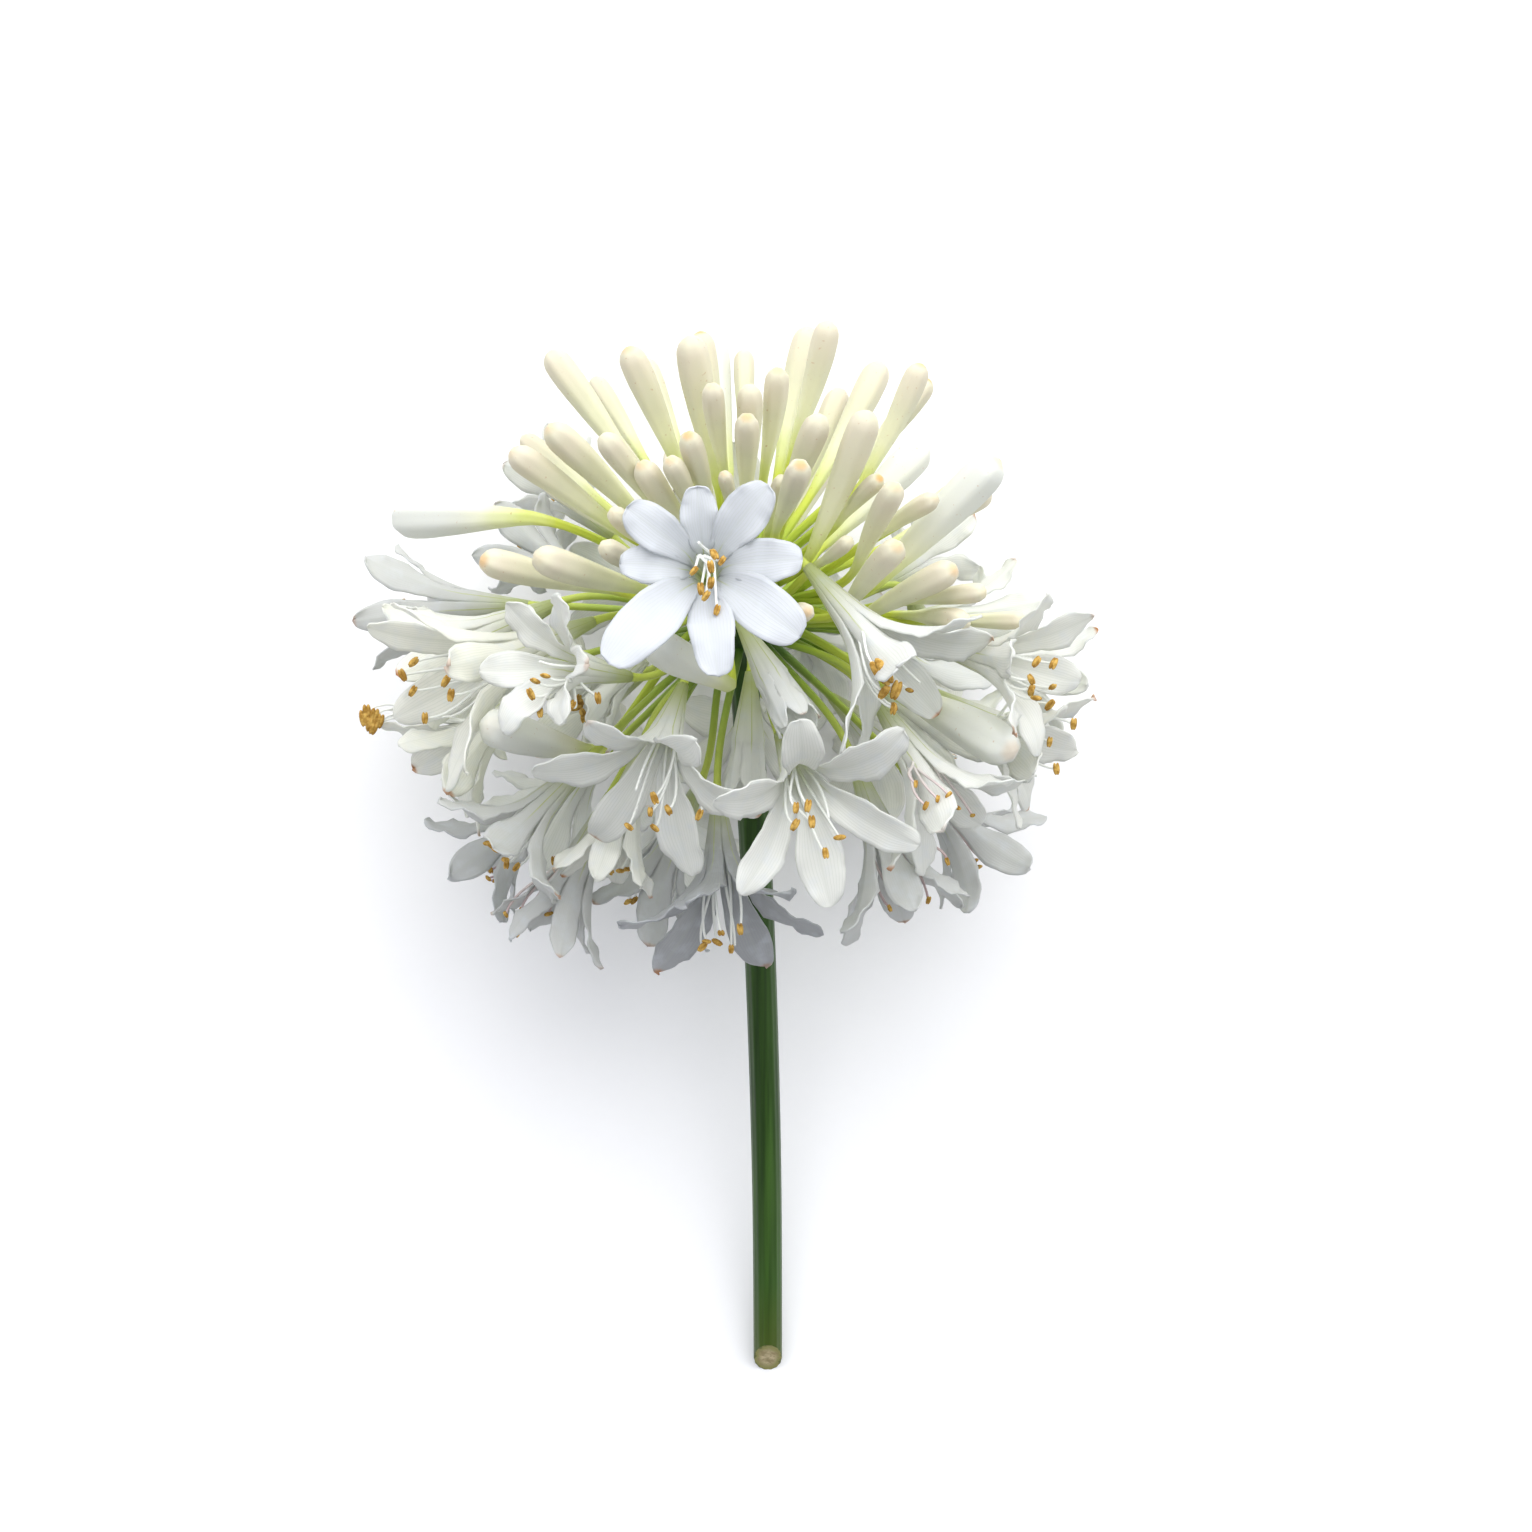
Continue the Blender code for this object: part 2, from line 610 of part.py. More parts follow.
def settle_cluster(name, group, root, room, draw):
    """Nudge the buds of one cluster until each stands clear of everything else."""
    crossed_in_all = 0
    for bud in group:
        tip, width, length = bud.tip, bud.width, bud.length
        bud.root = root
        best = None
        for attempt in range(160):
            loose = attempt / 80
            bud.tip = tip + Vector([draw.gauss(0.0, 5.0 * loose) for _ in range(3)])
            bud.width = width * (1.0 - 0.25 * max(0.0, loose - 0.3))
            bud.length = length * (1.0 - 0.25 * max(0.0, loose - 0.3))
            crossed = room.clashes(bud.solid(CLEARANCE), (name,))
            if best is None or crossed < best[0]:
                best = (crossed, bud.tip, bud.width, bud.length)
            if crossed == 0:
                break
        crossed_in_all += best[0]
        _, bud.tip, bud.width, bud.length = best
        room.add(name, bud.solid())
    return crossed_in_all


def stem_solid():
    """Stem with its slanting cut, swelling into the round receptacle."""
    verts = []
    faces = []
    across = STEM_UP.cross(RIGHT)
    stations = [(-STEM_LENGTH, STEM_RADIUS_FOOT), (-160.0, 4.1), (-100.0, 4.2), (-50.0, 4.3)]
    stations += [(-15.0, STEM_RADIUS_TOP), (-8.5, 6.2), (-5.0, 8.7), (0.0, RECEPTACLE_RADIUS)]
    stations += [(5.5, 8.4), (8.8, 4.6)]
    for k, (along, radius) in enumerate(stations):
        low = min(0.0, along + 15.0) / (15.0 - STEM_LENGTH)
        drift = RIGHT * (STEM_DRIFT * (1.0 - (1.0 - low) ** 2))
        for s in range(STEM_SIDES):
            turn = 2 * math.pi * s / STEM_SIDES
            spoke = RIGHT * math.cos(turn) + across * math.sin(turn)
            place = STEM_UP * along + drift + spoke * radius
            if k == 0:
                place += STEM_UP * (spoke.dot(FACE) * radius * math.tan(CUT_SLANT))
            verts.append(place)
    for k in range(len(stations) - 1):
        for s in range(STEM_SIDES):
            a = k * STEM_SIDES + s
            b = k * STEM_SIDES + (s + 1) % STEM_SIDES
            faces.append((a, b, b + STEM_SIDES))
            faces.append((a, b + STEM_SIDES, a + STEM_SIDES))
    last = (len(stations) - 1) * STEM_SIDES
    verts.append(STEM_UP * RECEPTACLE_RADIUS)
    faces.extend((last + s, last + (s + 1) % STEM_SIDES, len(verts) - 1) for s in range(STEM_SIDES))
    faces.extend((0, s + 1, s) for s in range(1, STEM_SIDES - 1))
    return verts, faces


def material(name, colour, roughness):
    """Plain surface of one colour."""
    fresh = bpy.data.materials.new(name)
    fresh.use_nodes = True
    shader = fresh.node_tree.nodes["Principled BSDF"]
    shader.inputs["Base Color"].default_value = (*colour, 1.0)
    shader.inputs["Roughness"].default_value = roughness
    shader.inputs["Metallic"].default_value = 0.0
    return fresh


def make_object(name, solid, surface, frame):
    """Mesh object whose vertices are given in the frame's own coordinates, in metres."""
    verts, faces = solid
    mesh = bpy.data.meshes.new(name)
    mesh.from_pydata([tuple(v * MM) for v in verts], [], faces)
    mesh.materials.append(surface)
    item = bpy.data.objects.new(name, mesh)
    bpy.context.scene.collection.objects.link(item)
    where = frame.copy()
    where.translation = where.translation * MM
    item.matrix_world = where
    return item


def fuse(body, parts, solver):
    """Join the parts to the body with one union and remove them."""
    group = bpy.data.collections.new(body.name + "_parts")
    bpy.context.scene.collection.children.link(group)
    for part in parts:
        bpy.context.scene.collection.objects.unlink(part)
        group.objects.link(part)
    union = body.modifiers.new("union", "BOOLEAN")
    union.operation = "UNION"
    union.operand_type = "COLLECTION"
    union.collection = group
    union.solver = solver
    bpy.context.view_layer.update()
    shape = body.evaluated_get(bpy.context.evaluated_depsgraph_get())
    joined = bpy.data.meshes.new_from_object(shape)
    body.modifiers.clear()
    body.data = joined
    for part in parts:
        bpy.data.objects.remove(part)
    bpy.data.collections.remove(group)


def middle_of(solids):
    """Point on the ground under the middle of the box round all the solids."""
    places = [v for verts, _ in solids for v in verts]
    low = [min(v[axis] for v in places) for axis in range(3)]
    high = [max(v[axis] for v in places) for axis in range(3)]
    return Vector(((low[0] + high[0]) / 2, (low[1] + high[1]) / 2, low[2]))


def main():
    for item in list(bpy.data.objects):
        bpy.data.objects.remove(item)
    petal = material("petal_white", (0.88, 0.9, 0.92), 0.55)
    bud_skin = material("bud_cream", (0.78, 0.78, 0.58), 0.5)
    green = material("stem_green", (0.07, 0.14, 0.04), 0.5)

    florets = near_florets()
    florets += far_florets(florets)
    clusters = clusters_of(all_buds())
    ways = [floret.foot.normalized() for floret in florets]
    for group in clusters:
        ways.append(sum((bud.tip.normalized() for bud in group), Vector()).normalized())
    kinds = ["floret"] * len(florets) + ["cluster"] * len(clusters)
    roots = spread_roots(ways, kinds)
    floret_roots = roots[: len(florets)]
    cluster_roots = roots[len(florets):]

    # Each floret and cluster in turn finds a place clear of those that stand already. The lowest
    # clusters, whose buds stand among the open florets, come after the foremost florets.
    room = Room()
    room.add("stem", stem_solid())
    draw = random.Random(SEED + 2)
    pieces = [("floret", k) for k in range(len(florets))]
    pieces[FOREMOST_FLORETS:FOREMOST_FLORETS] = [("cluster", k) for k in range(LOWEST_CLUSTERS)]
    pieces += [("cluster", k) for k in range(LOWEST_CLUSTERS, len(clusters))]
    for kind, k in pieces:
        if kind == "floret":
            crossed = settle_floret(florets[k], floret_roots[k], room)
        else:
            name = f"buds_{k + 1:02d}"
            crossed = settle_cluster(name, clusters[k], cluster_roots[k], room, draw)
        if crossed:
            raise RuntimeError(f"{kind} {k + 1} crosses another piece")

    solids = [stem_solid()]
    solids += [floret.placed() for floret in florets]
    solids += [bud.solid() for group in clusters for bud in group]
    shift = Matrix.Translation(-middle_of(solids))

    scape = make_object("scape", stem_solid(), green, shift)
    stalks = []
    for floret, root in zip(florets, floret_roots):
        stalks.append(make_object("stalk", pedicel(root, floret), green, shift))
    fuse(scape, stalks, "EXACT")
    for floret in florets:
        frame = shift @ placing(floret.foot, floret.axis, floret.roll)
        make_object("floret_" + floret.name, floret.solid(), petal, frame)
    for k, (group, root) in enumerate(zip(clusters, cluster_roots)):
        low = root * (RECEPTACLE_RADIUS + 0.4)
        high = root * (RECEPTACLE_RADIUS + 4.0)
        peg = sweep([low, high], [1.7, 1.5], BUD_SIDES, False)
        body = make_object(f"buds_{k + 1:02d}", peg, bud_skin, shift)
        parts = [make_object("bud", bud.solid(), bud_skin, shift) for bud in group]
        fuse(body, parts, "MANIFOLD")


main()
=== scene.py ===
"""White agapanthus flower head on its cut stem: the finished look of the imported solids.

Each floret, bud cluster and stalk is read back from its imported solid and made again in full: waved
tepals with veins, stamens with ochre anthers, seamed buds, ribbed stem and pale cut face. Lengths
are in metres. The origin lies on the ground under the middle of the whole, +Y runs along the stem
toward the head and +Z is up.
"""

import math
import random
from functools import partial

import bmesh
import bpy
import numpy as np
from bpy.props import FloatProperty, FloatVectorProperty, IntProperty, PointerProperty
from mathutils import Matrix, Vector


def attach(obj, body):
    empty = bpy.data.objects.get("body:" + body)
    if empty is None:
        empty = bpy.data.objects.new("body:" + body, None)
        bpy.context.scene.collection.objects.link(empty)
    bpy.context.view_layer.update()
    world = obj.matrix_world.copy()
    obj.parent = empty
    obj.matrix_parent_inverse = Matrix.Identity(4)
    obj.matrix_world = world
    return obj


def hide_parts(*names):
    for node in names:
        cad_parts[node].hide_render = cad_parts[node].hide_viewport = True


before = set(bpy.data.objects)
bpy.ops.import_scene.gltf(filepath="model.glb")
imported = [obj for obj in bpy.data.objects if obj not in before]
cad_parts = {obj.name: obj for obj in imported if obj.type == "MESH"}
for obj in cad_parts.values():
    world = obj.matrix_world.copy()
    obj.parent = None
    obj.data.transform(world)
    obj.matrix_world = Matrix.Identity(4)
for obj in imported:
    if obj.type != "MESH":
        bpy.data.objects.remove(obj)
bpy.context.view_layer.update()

bl_info = {
    "name": "Agapanthus flower head",
    "version": (1, 0, 0),
    "blender": (4, 5, 0),
    "location": "3D View > Sidebar > Agapanthus",
    "description": "White agapanthus umbel on a cut stem, lying face up",
    "category": "Object",
}

MM = 0.001

# The umbel's centre, the lie of the stem, and the picture: umbel centre in pixels, scale, and
# distance of the viewer, who stands over the face and 15 degrees up from the umbel's equator.
UMBEL_CENTRE = Vector((6.27, 65.35, 75.99)) * MM
LIE_ANGLE = math.radians(18.6)
VIEW_LEAN = math.radians(3.6)
PICTURE_SIDE = 1532.0
PICTURE_CENTRE = (745.0, 620.0)
PIXELS_PER_METRE = 3750.0
VIEW_DISTANCE = 0.8
SENSOR_WIDTH = 36.0
STEM_UP = Vector((0.0, math.cos(LIE_ANGLE), math.sin(LIE_ANGLE)))
PICTURE_UP = Vector((0.0, math.cos(VIEW_LEAN), math.sin(VIEW_LEAN)))
TO_VIEWER = Vector((0.0, -math.sin(VIEW_LEAN), math.cos(VIEW_LEAN)))
RIGHT = Vector((1.0, 0.0, 0.0))

# Corners round each form of the solids.
STEM_CORNERS = 12
STALK_CORNERS = 5
BUD_CORNERS = 6
TEPAL_CORNERS = 4

# How far from the umbel's centre the stalks of florets and buds begin, inside the receptacle, how
# far short of its floret a solid stalk ends, and how far into the tube a dressed one reaches.
STALK_ROOT = 7.5 * MM
BUD_ROOT = 9.0 * MM
STALK_GAP = 0.35 * MM
STALK_OVERLAP = 0.4 * MM

# How far from the umbel's centre the ring lies that a solid stalk has a third of the way up.
THIRD_RANGE = (15 * MM, 30 * MM)

# A flower stalk: radius at its root and how much it thins, in mm, and the share of its length,
# just under the flower, over which it swells again.
STALK_RADIUS = 1.3
STALK_THINNING = 0.3
STALK_NECK = 0.08

# Points along the stem and the receptacle, and steps along a flower stalk, a bud's stalk, a bud,
# and a filament's parts inside the throat and beyond it.
STEM_POINTS = 60
RECEPTACLE_POINTS = 26
STALK_STEPS = 22
BUD_STALK_STEPS = 12
BUD_STEPS = 26
THROAT_STEPS = 3
FILAMENT_STEPS = 10

# Faces round the stem, a flower stalk and a filament, and seams round a bud.
STEM_SIDES = 56
STALK_SIDES = 10
FILAMENT_SIDES = 6
BUD_SEAMS = 6

# Nothing lies nearer the ground than this.
GROUND_GAP = 0.05 * MM

# Least length of a floret's tube, and how far the tips of one that is open spread from its axis.
LEAST_TUBE = 12 * MM
OPEN_SPREAD = 9 * MM

# Corners nearer than this are one.
WELD = 0.004 * MM

# Height at which the rings of the stem give way to the receptacle, and the receptacle itself:
# height over the umbel's centre and radius, in mm, up to its rounded top. Neither is thinner than
# the least radius.
STEM_END = -12 * MM
RECEPTACLE = (
    (-11.0, 5.0), (-8.5, 6.2), (-5.0, 8.3), (0.0, 9.7), (5.5, 8.2), (8.8, 4.6), (10.0, 0.4)
)
LEAST_STEM = 0.3 * MM

# Length added to the stem's foot and cut off again along the slant, the stem's radius there, and
# the width of the ring of skin at the rim of the cut.
FOOT_SPARE = 10 * MM
CUT_RADIUS = 4.0 * MM
CUT_RIM = 0.5 * MM

# Lengths that a bud can have, and a solid bud's first ring: its share of the length from the tip,
# and of the greatest radius.
LEAST_BUD = 9 * MM
GREATEST_BUD = 46 * MM
BUD_RING_SHARE = 0.06
BUD_RING_WIDTH = 0.76

# How far from round that ring can be, the radius of a bud's stalk, how far a bud bows to one side,
# in mm, and by what power its points crowd toward the tip.
ROUND_ENOUGH = 0.02 * MM
BUD_STALK = 1.12 * MM
BUD_BOW = (0.2, 0.7)
BUD_CROWDING = 1.7

# Radius from which a bud turns white, since it is about to open, and how much more makes it so.
WHITE_START = 4.1 * MM
WHITE_SPAN = 0.8 * MM

# A bud's outline: part of the way up, and share of its greatest radius.
BUD_CLUB = (
    (0.0, 0.42), (0.2, 0.58), (0.4, 0.77), (0.6, 0.92), (0.76, 1.0), (0.88, 0.97), (0.94, 0.82),
    (0.98, 0.5), (1.0, 0.0),
)

# Where a tube has its rows of faces, and how deep the furrows between tepals are, in tube radii.
TUBE_SHARES = (0.0, 0.02, 0.14, 0.3, 0.46, 0.62, 0.76, 0.88)
FURROW = 0.07

# A tube's radius at the foot and how much it widens, in mm, and the power by which it flares.
TUBE_FOOT = 1.25
TUBE_WIDENING = 3.05
TUBE_FLARE = 1.12

# Where along a tepal its solid has stations, from the mouth of the tube to the tip.
STATIONS = (0.0, 0.26, 0.6, 0.89, 1.0)

# Where a blade has left the round of the tube, and where its outline turns in to the tip.
BLADE_START = 0.16
TIP_START = 0.6

# Powers by which a blade's rows crowd toward the tip and its waves toward the edges, how wide the
# groove and the notch are, in half widths, how far the outline wanders, and where the curl begins.
ROW_CROWDING = 1.45
EDGE_CROWDING = 2.2
GROOVE_WIDTH = 0.16
NOTCH_WIDTH = 0.22
WANDER = 0.035
CURL_START = 0.7

# Width of a tepal against its plain solid at each station but the tip: of the foremost floret, of
# other open ones, and of closed ones, where each wraps the next.
FULLER = (1.1, 1.42, 1.16, 1.16)
SLIMMER = (0.95, 0.94, 0.92, 0.92)
WRAPPED = (1.2, 1.35, 1.35, 1.2)

# Anthers that the picture shows, floret by floret, as picture x and y.
ANTHERS_SEEN = {
    "front": ((722, 561), (711, 567), (694, 571), (711, 583), (701, 589), (706, 596), (717, 610)),
    "spout": ((882, 672), (884, 692), (896, 690)),
    "hanging": ((650, 812), (699, 815)),
    "low_star": ((702, 948), (731, 950), (740, 930)),
    "low_bell": ((796, 808), (808, 806), (795, 825), (812, 822)),
    "left_face": ((531, 694), (540, 712), (571, 706), (598, 698)),
    "left_long": ((414, 662), (403, 675), (413, 691), (446, 681), (451, 695), (425, 718)),
    "left_mid": ((364, 718), (370, 724), (374, 716), (380, 721), (374, 727), (367, 712)),
    "right_low": ((1031, 690), (1036, 709), (1050, 705), (1050, 742), (1057, 769), (1074, 724)),
    "right_mid": ((916, 784), (938, 799), (949, 795), (926, 806)),
    "low_right": ((901, 903), (929, 901), (948, 862)),
    "low_left": ((505, 915), (520, 911), (526, 922), (517, 934), (553, 861)),
}

# How far from the mouth of the tube anthers stand, in tepal lengths, and how long those anthers
# are against a common one, where the picture shows it.
FILAMENT_REACH = 0.72
ANTHER_SIZES = {"spout": (2.4, 1.3, 1.6), "left_mid": (1.5, 1.4, 1.5, 1.3, 1.4, 1.4)}

# Florets that lie in the head's shade, and how far their tepals are darkened toward gray as painted
# shade, from 0 to 1.
PAINTED_SHADE_FLORETS = {
    "low_star": 1.0, "low_behind": 0.7, "left_back": 0.5, "left_up": 0.4, "left_under": 0.6,
    "low_left": 0.55, "left_low": 0.4, "low_right": 0.45, "right_under": 0.5, "right_end": 0.2,
    "right_low": 0.2,
}

# Florets whose filaments have begun to wither, and how far, from 0 to 1, and the size of anthers
# there against fresh ones.
WITHERED = {
    "right_mid": 0.6, "low_right": 0.8, "right_under": 1.0, "left_under": 0.8, "low_left": 0.7
}
SHRUNK = 0.75

# How deep under the mouth filaments leave the tube, and how far from its axis there and where they
# pass the mouth.
THROAT_DEPTH = 9 * MM
THROAT_FLOOR = 1.1 * MM
THROAT_RIM = 2.9 * MM

# Half the side of the floor, in metres.
FLOOR_HALF = 3.0

# Kinds of node that the trees use over and over, and the settings of a soft step and of a mix of
# two colours.
MATH = "ShaderNodeMath"
MIX = "ShaderNodeMix"
NOISE = "ShaderNodeTexNoise"
RANGE = "ShaderNodeMapRange"
NAMED = "GeometryNodeInputNamedAttribute"
SOFT = {"interpolation_type": "SMOOTHSTEP"}
COLOURS = {"data_type": "RGBA"}


def linear(code):
    """Linear colour of an sRGB colour written as six hex digits."""
    parts = [int(code[i : i + 2], 16) / 255 for i in (0, 2, 4)]
    return tuple(p / 12.92 if p <= 0.04045 else ((p + 0.055) / 1.055) ** 2.4 for p in parts)


def colour(name, code, description):
    """Colour property whose default is written in hex."""
    return FloatVectorProperty(
        name=name, description=description, subtype="COLOR", min=0.0, max=1.0, default=linear(code)
    )


def number(name, value, description, unit="NONE"):
    """Number property with its default."""
    return FloatProperty(name=name, description=description, unit=unit, default=value, min=0.0)


def whole(name, value, least, description):
    """Whole-number property with its default and its least value."""
    return IntProperty(name=name, description=description, default=value, min=least)


# Number property that is a length in metres.
length = partial(number, unit="LENGTH")


class FlowerSettings(bpy.types.PropertyGroup):
    """Sizes and colours of the open florets."""

    thickness: length("Tepal thickness", 0.42 * MM, "Thickness of a tepal")
    wave: length("Edge wave", 0.8 * MM, "Height of the waves along a tepal's edge")
    groove: length("Midrib groove", 0.22 * MM, "Depth of the groove along a tepal's middle")
    columns: whole("Columns", 10, 4, "Faces across a tepal")
    rows: whole("Rows", 18, 6, "Faces along a tepal")
    white: colour("White", "DFE2E6", "Face of the foremost floret's tepals")
    # Gray mixed into the tepals of florets that lie in shade: painted shade.
    dull: colour("Dull white", "B9BBBD", "Tepals past their best, thin and gray")
    warm: colour("Warm white", "F7F7EE", "Face of a tepal that opened earlier")
    vein: colour("Vein", "CDD3C6", "Veins and midrib of a tepal")
    base: colour("Base", "D6DE9E", "Foot of the tube")
    tip: colour("Tip", "C98F55", "Withered point of an older tepal")


class StamenSettings(bpy.types.PropertyGroup):
    """Sizes and colours of the stamens."""

    filament_radius: length("Filament radius", 0.48 * MM, "Radius of a filament at its foot")
    anther_length: length("Anther length", 3.1 * MM, "Length of an anther")
    filament: colour("Filament", "F3F5EE", "Filaments and styles")
    withered: colour("Withered", "B08486", "Tips of filaments past their best")
    anther: colour("Anther", "A37A33", "Ripe anthers")
    pollen: colour("Pollen", "D6B05E", "Pollen on the anthers")


class BudSettings(bpy.types.PropertyGroup):
    """Sizes and colours of the buds."""

    seam: number("Seam depth", 0.045, "Depth of the seams in bud radii")
    sides: whole("Sides", 30, 12, "Faces round a bud")
    cream: colour("Cream", "D5D3B6", "Upper part of a bud")
    white: colour("White", "DBDDD3", "Bud that is about to open")
    blush: colour("Blush", "D8D0B9", "Warm flush on the shoulders")
    lime: colour("Lime", "C6D052", "Foot of a bud")
    nub: colour("Nub", "D9A866", "Point at the tip of an older bud")


class StemSettings(bpy.types.PropertyGroup):
    """Sizes and colours of the stem and the flower stalks."""

    ribs: whole("Ribs", 14, 0, "Ribs round the stem")
    rib_depth: number("Rib depth", 0.02, "Depth of the ribs in stem radii")
    dark: colour("Dark green", "1D3808", "Stem skin")
    light: colour("Light green", "3B5E1C", "Streaks along the stem")
    stain: colour("Stain", "4C560E", "Skin just above the cut")
    stalk_dark: colour("Stalk foot", "3F661D", "Flower stalks near the receptacle")
    stalk_light: colour("Stalk top", "B3C053", "Flower stalks near the florets")
    pith: colour("Pith", "98885A", "Cut face")
    flesh: colour("Flesh", "8F8C4A", "Greenish ring round the pith")
    rim: colour("Cut rim", "5A6222", "Skin seen at the rim of the cut")


class StageSettings(bpy.types.PropertyGroup):
    """Floor and light."""

    floor: colour("Floor", "FAFAF9", "Floor")
    key: number("Key light", 30.0, "Power of the main light")
    fill: number("Fill light", 15.0, "Power of the fill light")
    sky: number("Sky", 0.84, "Strength of the even light")


def from_picture(x, y, depth):
    """Place of a picture point, depth metres nearer the viewer than the umbel's centre."""
    scale = (VIEW_DISTANCE - depth) / VIEW_DISTANCE / PIXELS_PER_METRE
    across = RIGHT * ((x - PICTURE_CENTRE[0]) * scale)
    rise = PICTURE_UP * ((PICTURE_CENTRE[1] - y) * scale)
    return UMBEL_CENTRE + across + rise + TO_VIEWER * depth


def hermite(t):
    """Weights of a smooth curve's start, way out, end and way in, part of the way along it."""
    return 2 * t**3 - 3 * t**2 + 1, t**3 - 2 * t**2 + t, 3 * t**2 - 2 * t**3, t**3 - t**2


def through(stations, values, parts):
    """Smooth curve through the values at the stations, read at the given parts."""
    stations = np.asarray(stations, float)
    values = np.asarray(values, float)
    slopes = np.gradient(values, stations, axis=0)
    found = []
    for part in parts:
        k = int(np.clip(np.searchsorted(stations, part) - 1, 0, len(stations) - 2))
        span = stations[k + 1] - stations[k]
        a, b, c, d = hermite((part - stations[k]) / span)
        found.append(
            a * values[k] + b * span * slopes[k] + c * values[k + 1] + d * span * slopes[k + 1]
        )
    return np.array(found)


def bend(start, start_way, end, end_way, steps):
    """Points of a smooth stalk from start to end, leaving and arriving along the given ways."""
    reach = (end - start).length
    points = []
    for k in range(steps + 1):
        a, b, c, d = hermite(k / steps)
        points.append(start * a + start_way * (b * reach) + end * c + end_way * (d * reach))
    return points


def turned(out, side, turn):
    """Way that is turned from out toward side."""
    return out * math.cos(turn) + side * math.sin(turn)


class Welded:
    """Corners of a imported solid, and which of them an edge joins."""

    def __init__(self, node):
        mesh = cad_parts[node].data
        index = {}
        numbers = []
        self.places = []
        for corner in mesh.vertices:
            key = tuple(round(c * 1e6) for c in corner.co)
            if key not in index:
                index[key] = len(self.places)
                self.places.append(corner.co.copy())
            numbers.append(index[key])
        self.around = [set() for _ in self.places]
        for face in mesh.polygons:
            corners = [numbers[i] for i in face.vertices]
            for a in corners:
                self.around[a].update(b for b in corners if b != a)

    def rings(self, ring, passed=()):
        """Rings of as many corners as the first, one after another away from those passed."""
        sides = len(ring)
        passed = set(passed)
        found = []
        while len(ring) == sides:
            found.append(ring)
            passed |= ring
            ring = {b for a in ring for b in self.around[a]} - passed
        return found

    def strips(self, sides, least):
        """Each point where that many edges meet, with the rings that follow it."""
        found = []
        for tip, ring in enumerate(self.around):
            if len(ring) == sides:
                rings = self.rings(set(ring), {tip})
                if len(rings) >= least:
                    found.append((tip, rings))
        return found

    def middle(self, corners):
        """Middle of some corners."""
        return sum((self.places[c] for c in corners), Vector()) / len(corners)

    def nearest(self, place, many):
        """The corners nearest a place."""
        order = sorted(range(len(self.places)), key=lambda c: (self.places[c] - place).length)
        return order[:many]


class Floret:
    """One floret as its solid gives it: the tube, and the stations of each tepal."""

    def __init__(self, node):
        solid = Welded(node)
        strips = solid.strips(TEPAL_CORNERS, 4)
        rim = set().union(*[rings[3] for _, rings in strips])
        self.name = node.removeprefix("floret_")
        self.node = node
        self.mouth = solid.middle(rim)
        petals = {corner for _, rings in strips for ring in rings[:4] for corner in ring}
        below = {b for a in rim for b in solid.around[a]} - petals
        foot = [c for c in below if (solid.places[c] - self.mouth).length > LEAST_TUBE]
        self.foot = solid.middle(foot)
        self.axis = (self.mouth - self.foot).normalized()
        self.count = len(strips)
        self.tepals = []
        for tip, rings in strips:
            middle = solid.middle(rings[1]) - self.foot
            out = (middle - self.axis * middle.dot(self.axis)).normalized()
            side = self.axis.cross(out)
            rows = []
            for ring in reversed(rings[:4]):
                corners = [solid.places[c] for c in ring]
                corners.sort(key=lambda place: place.dot(side))
                pair = sorted(corners[1:3], key=lambda place: place.dot(self.axis - out))
                middle = (pair[0] + pair[1]) / 2
                rows.append((corners[0], corners[3], middle, pair[1] - pair[0]))
            self.tepals.append((out, side, rows, solid.places[tip]))
        start = self.tepals[0][0]
        other = self.axis.cross(start)
        self.tepals.sort(key=lambda tepal: math.atan2(tepal[0].dot(other), tepal[0].dot(start)))
        reaches = [(tip - rows[0][2]).length for _, _, rows, tip in self.tepals]
        self.tepal_length = sum(reaches) / self.count
        spokes = [tip - self.mouth for _, _, _, tip in self.tepals]
        spread = sum((s - self.axis * s.dot(self.axis)).length for s in spokes) / self.count
        self.fertile = spread > OPEN_SPREAD


READ = []


def florets():
    """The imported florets, read once."""
    if not READ:
        READ.extend(Floret(node) for node in sorted(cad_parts) if node.startswith("floret_"))
    return READ


def tube_radius(share):
    """Radius of the tube part of the way up, from foot to mouth."""
    return (TUBE_FOOT + TUBE_WIDENING * share**TUBE_FLARE) * MM


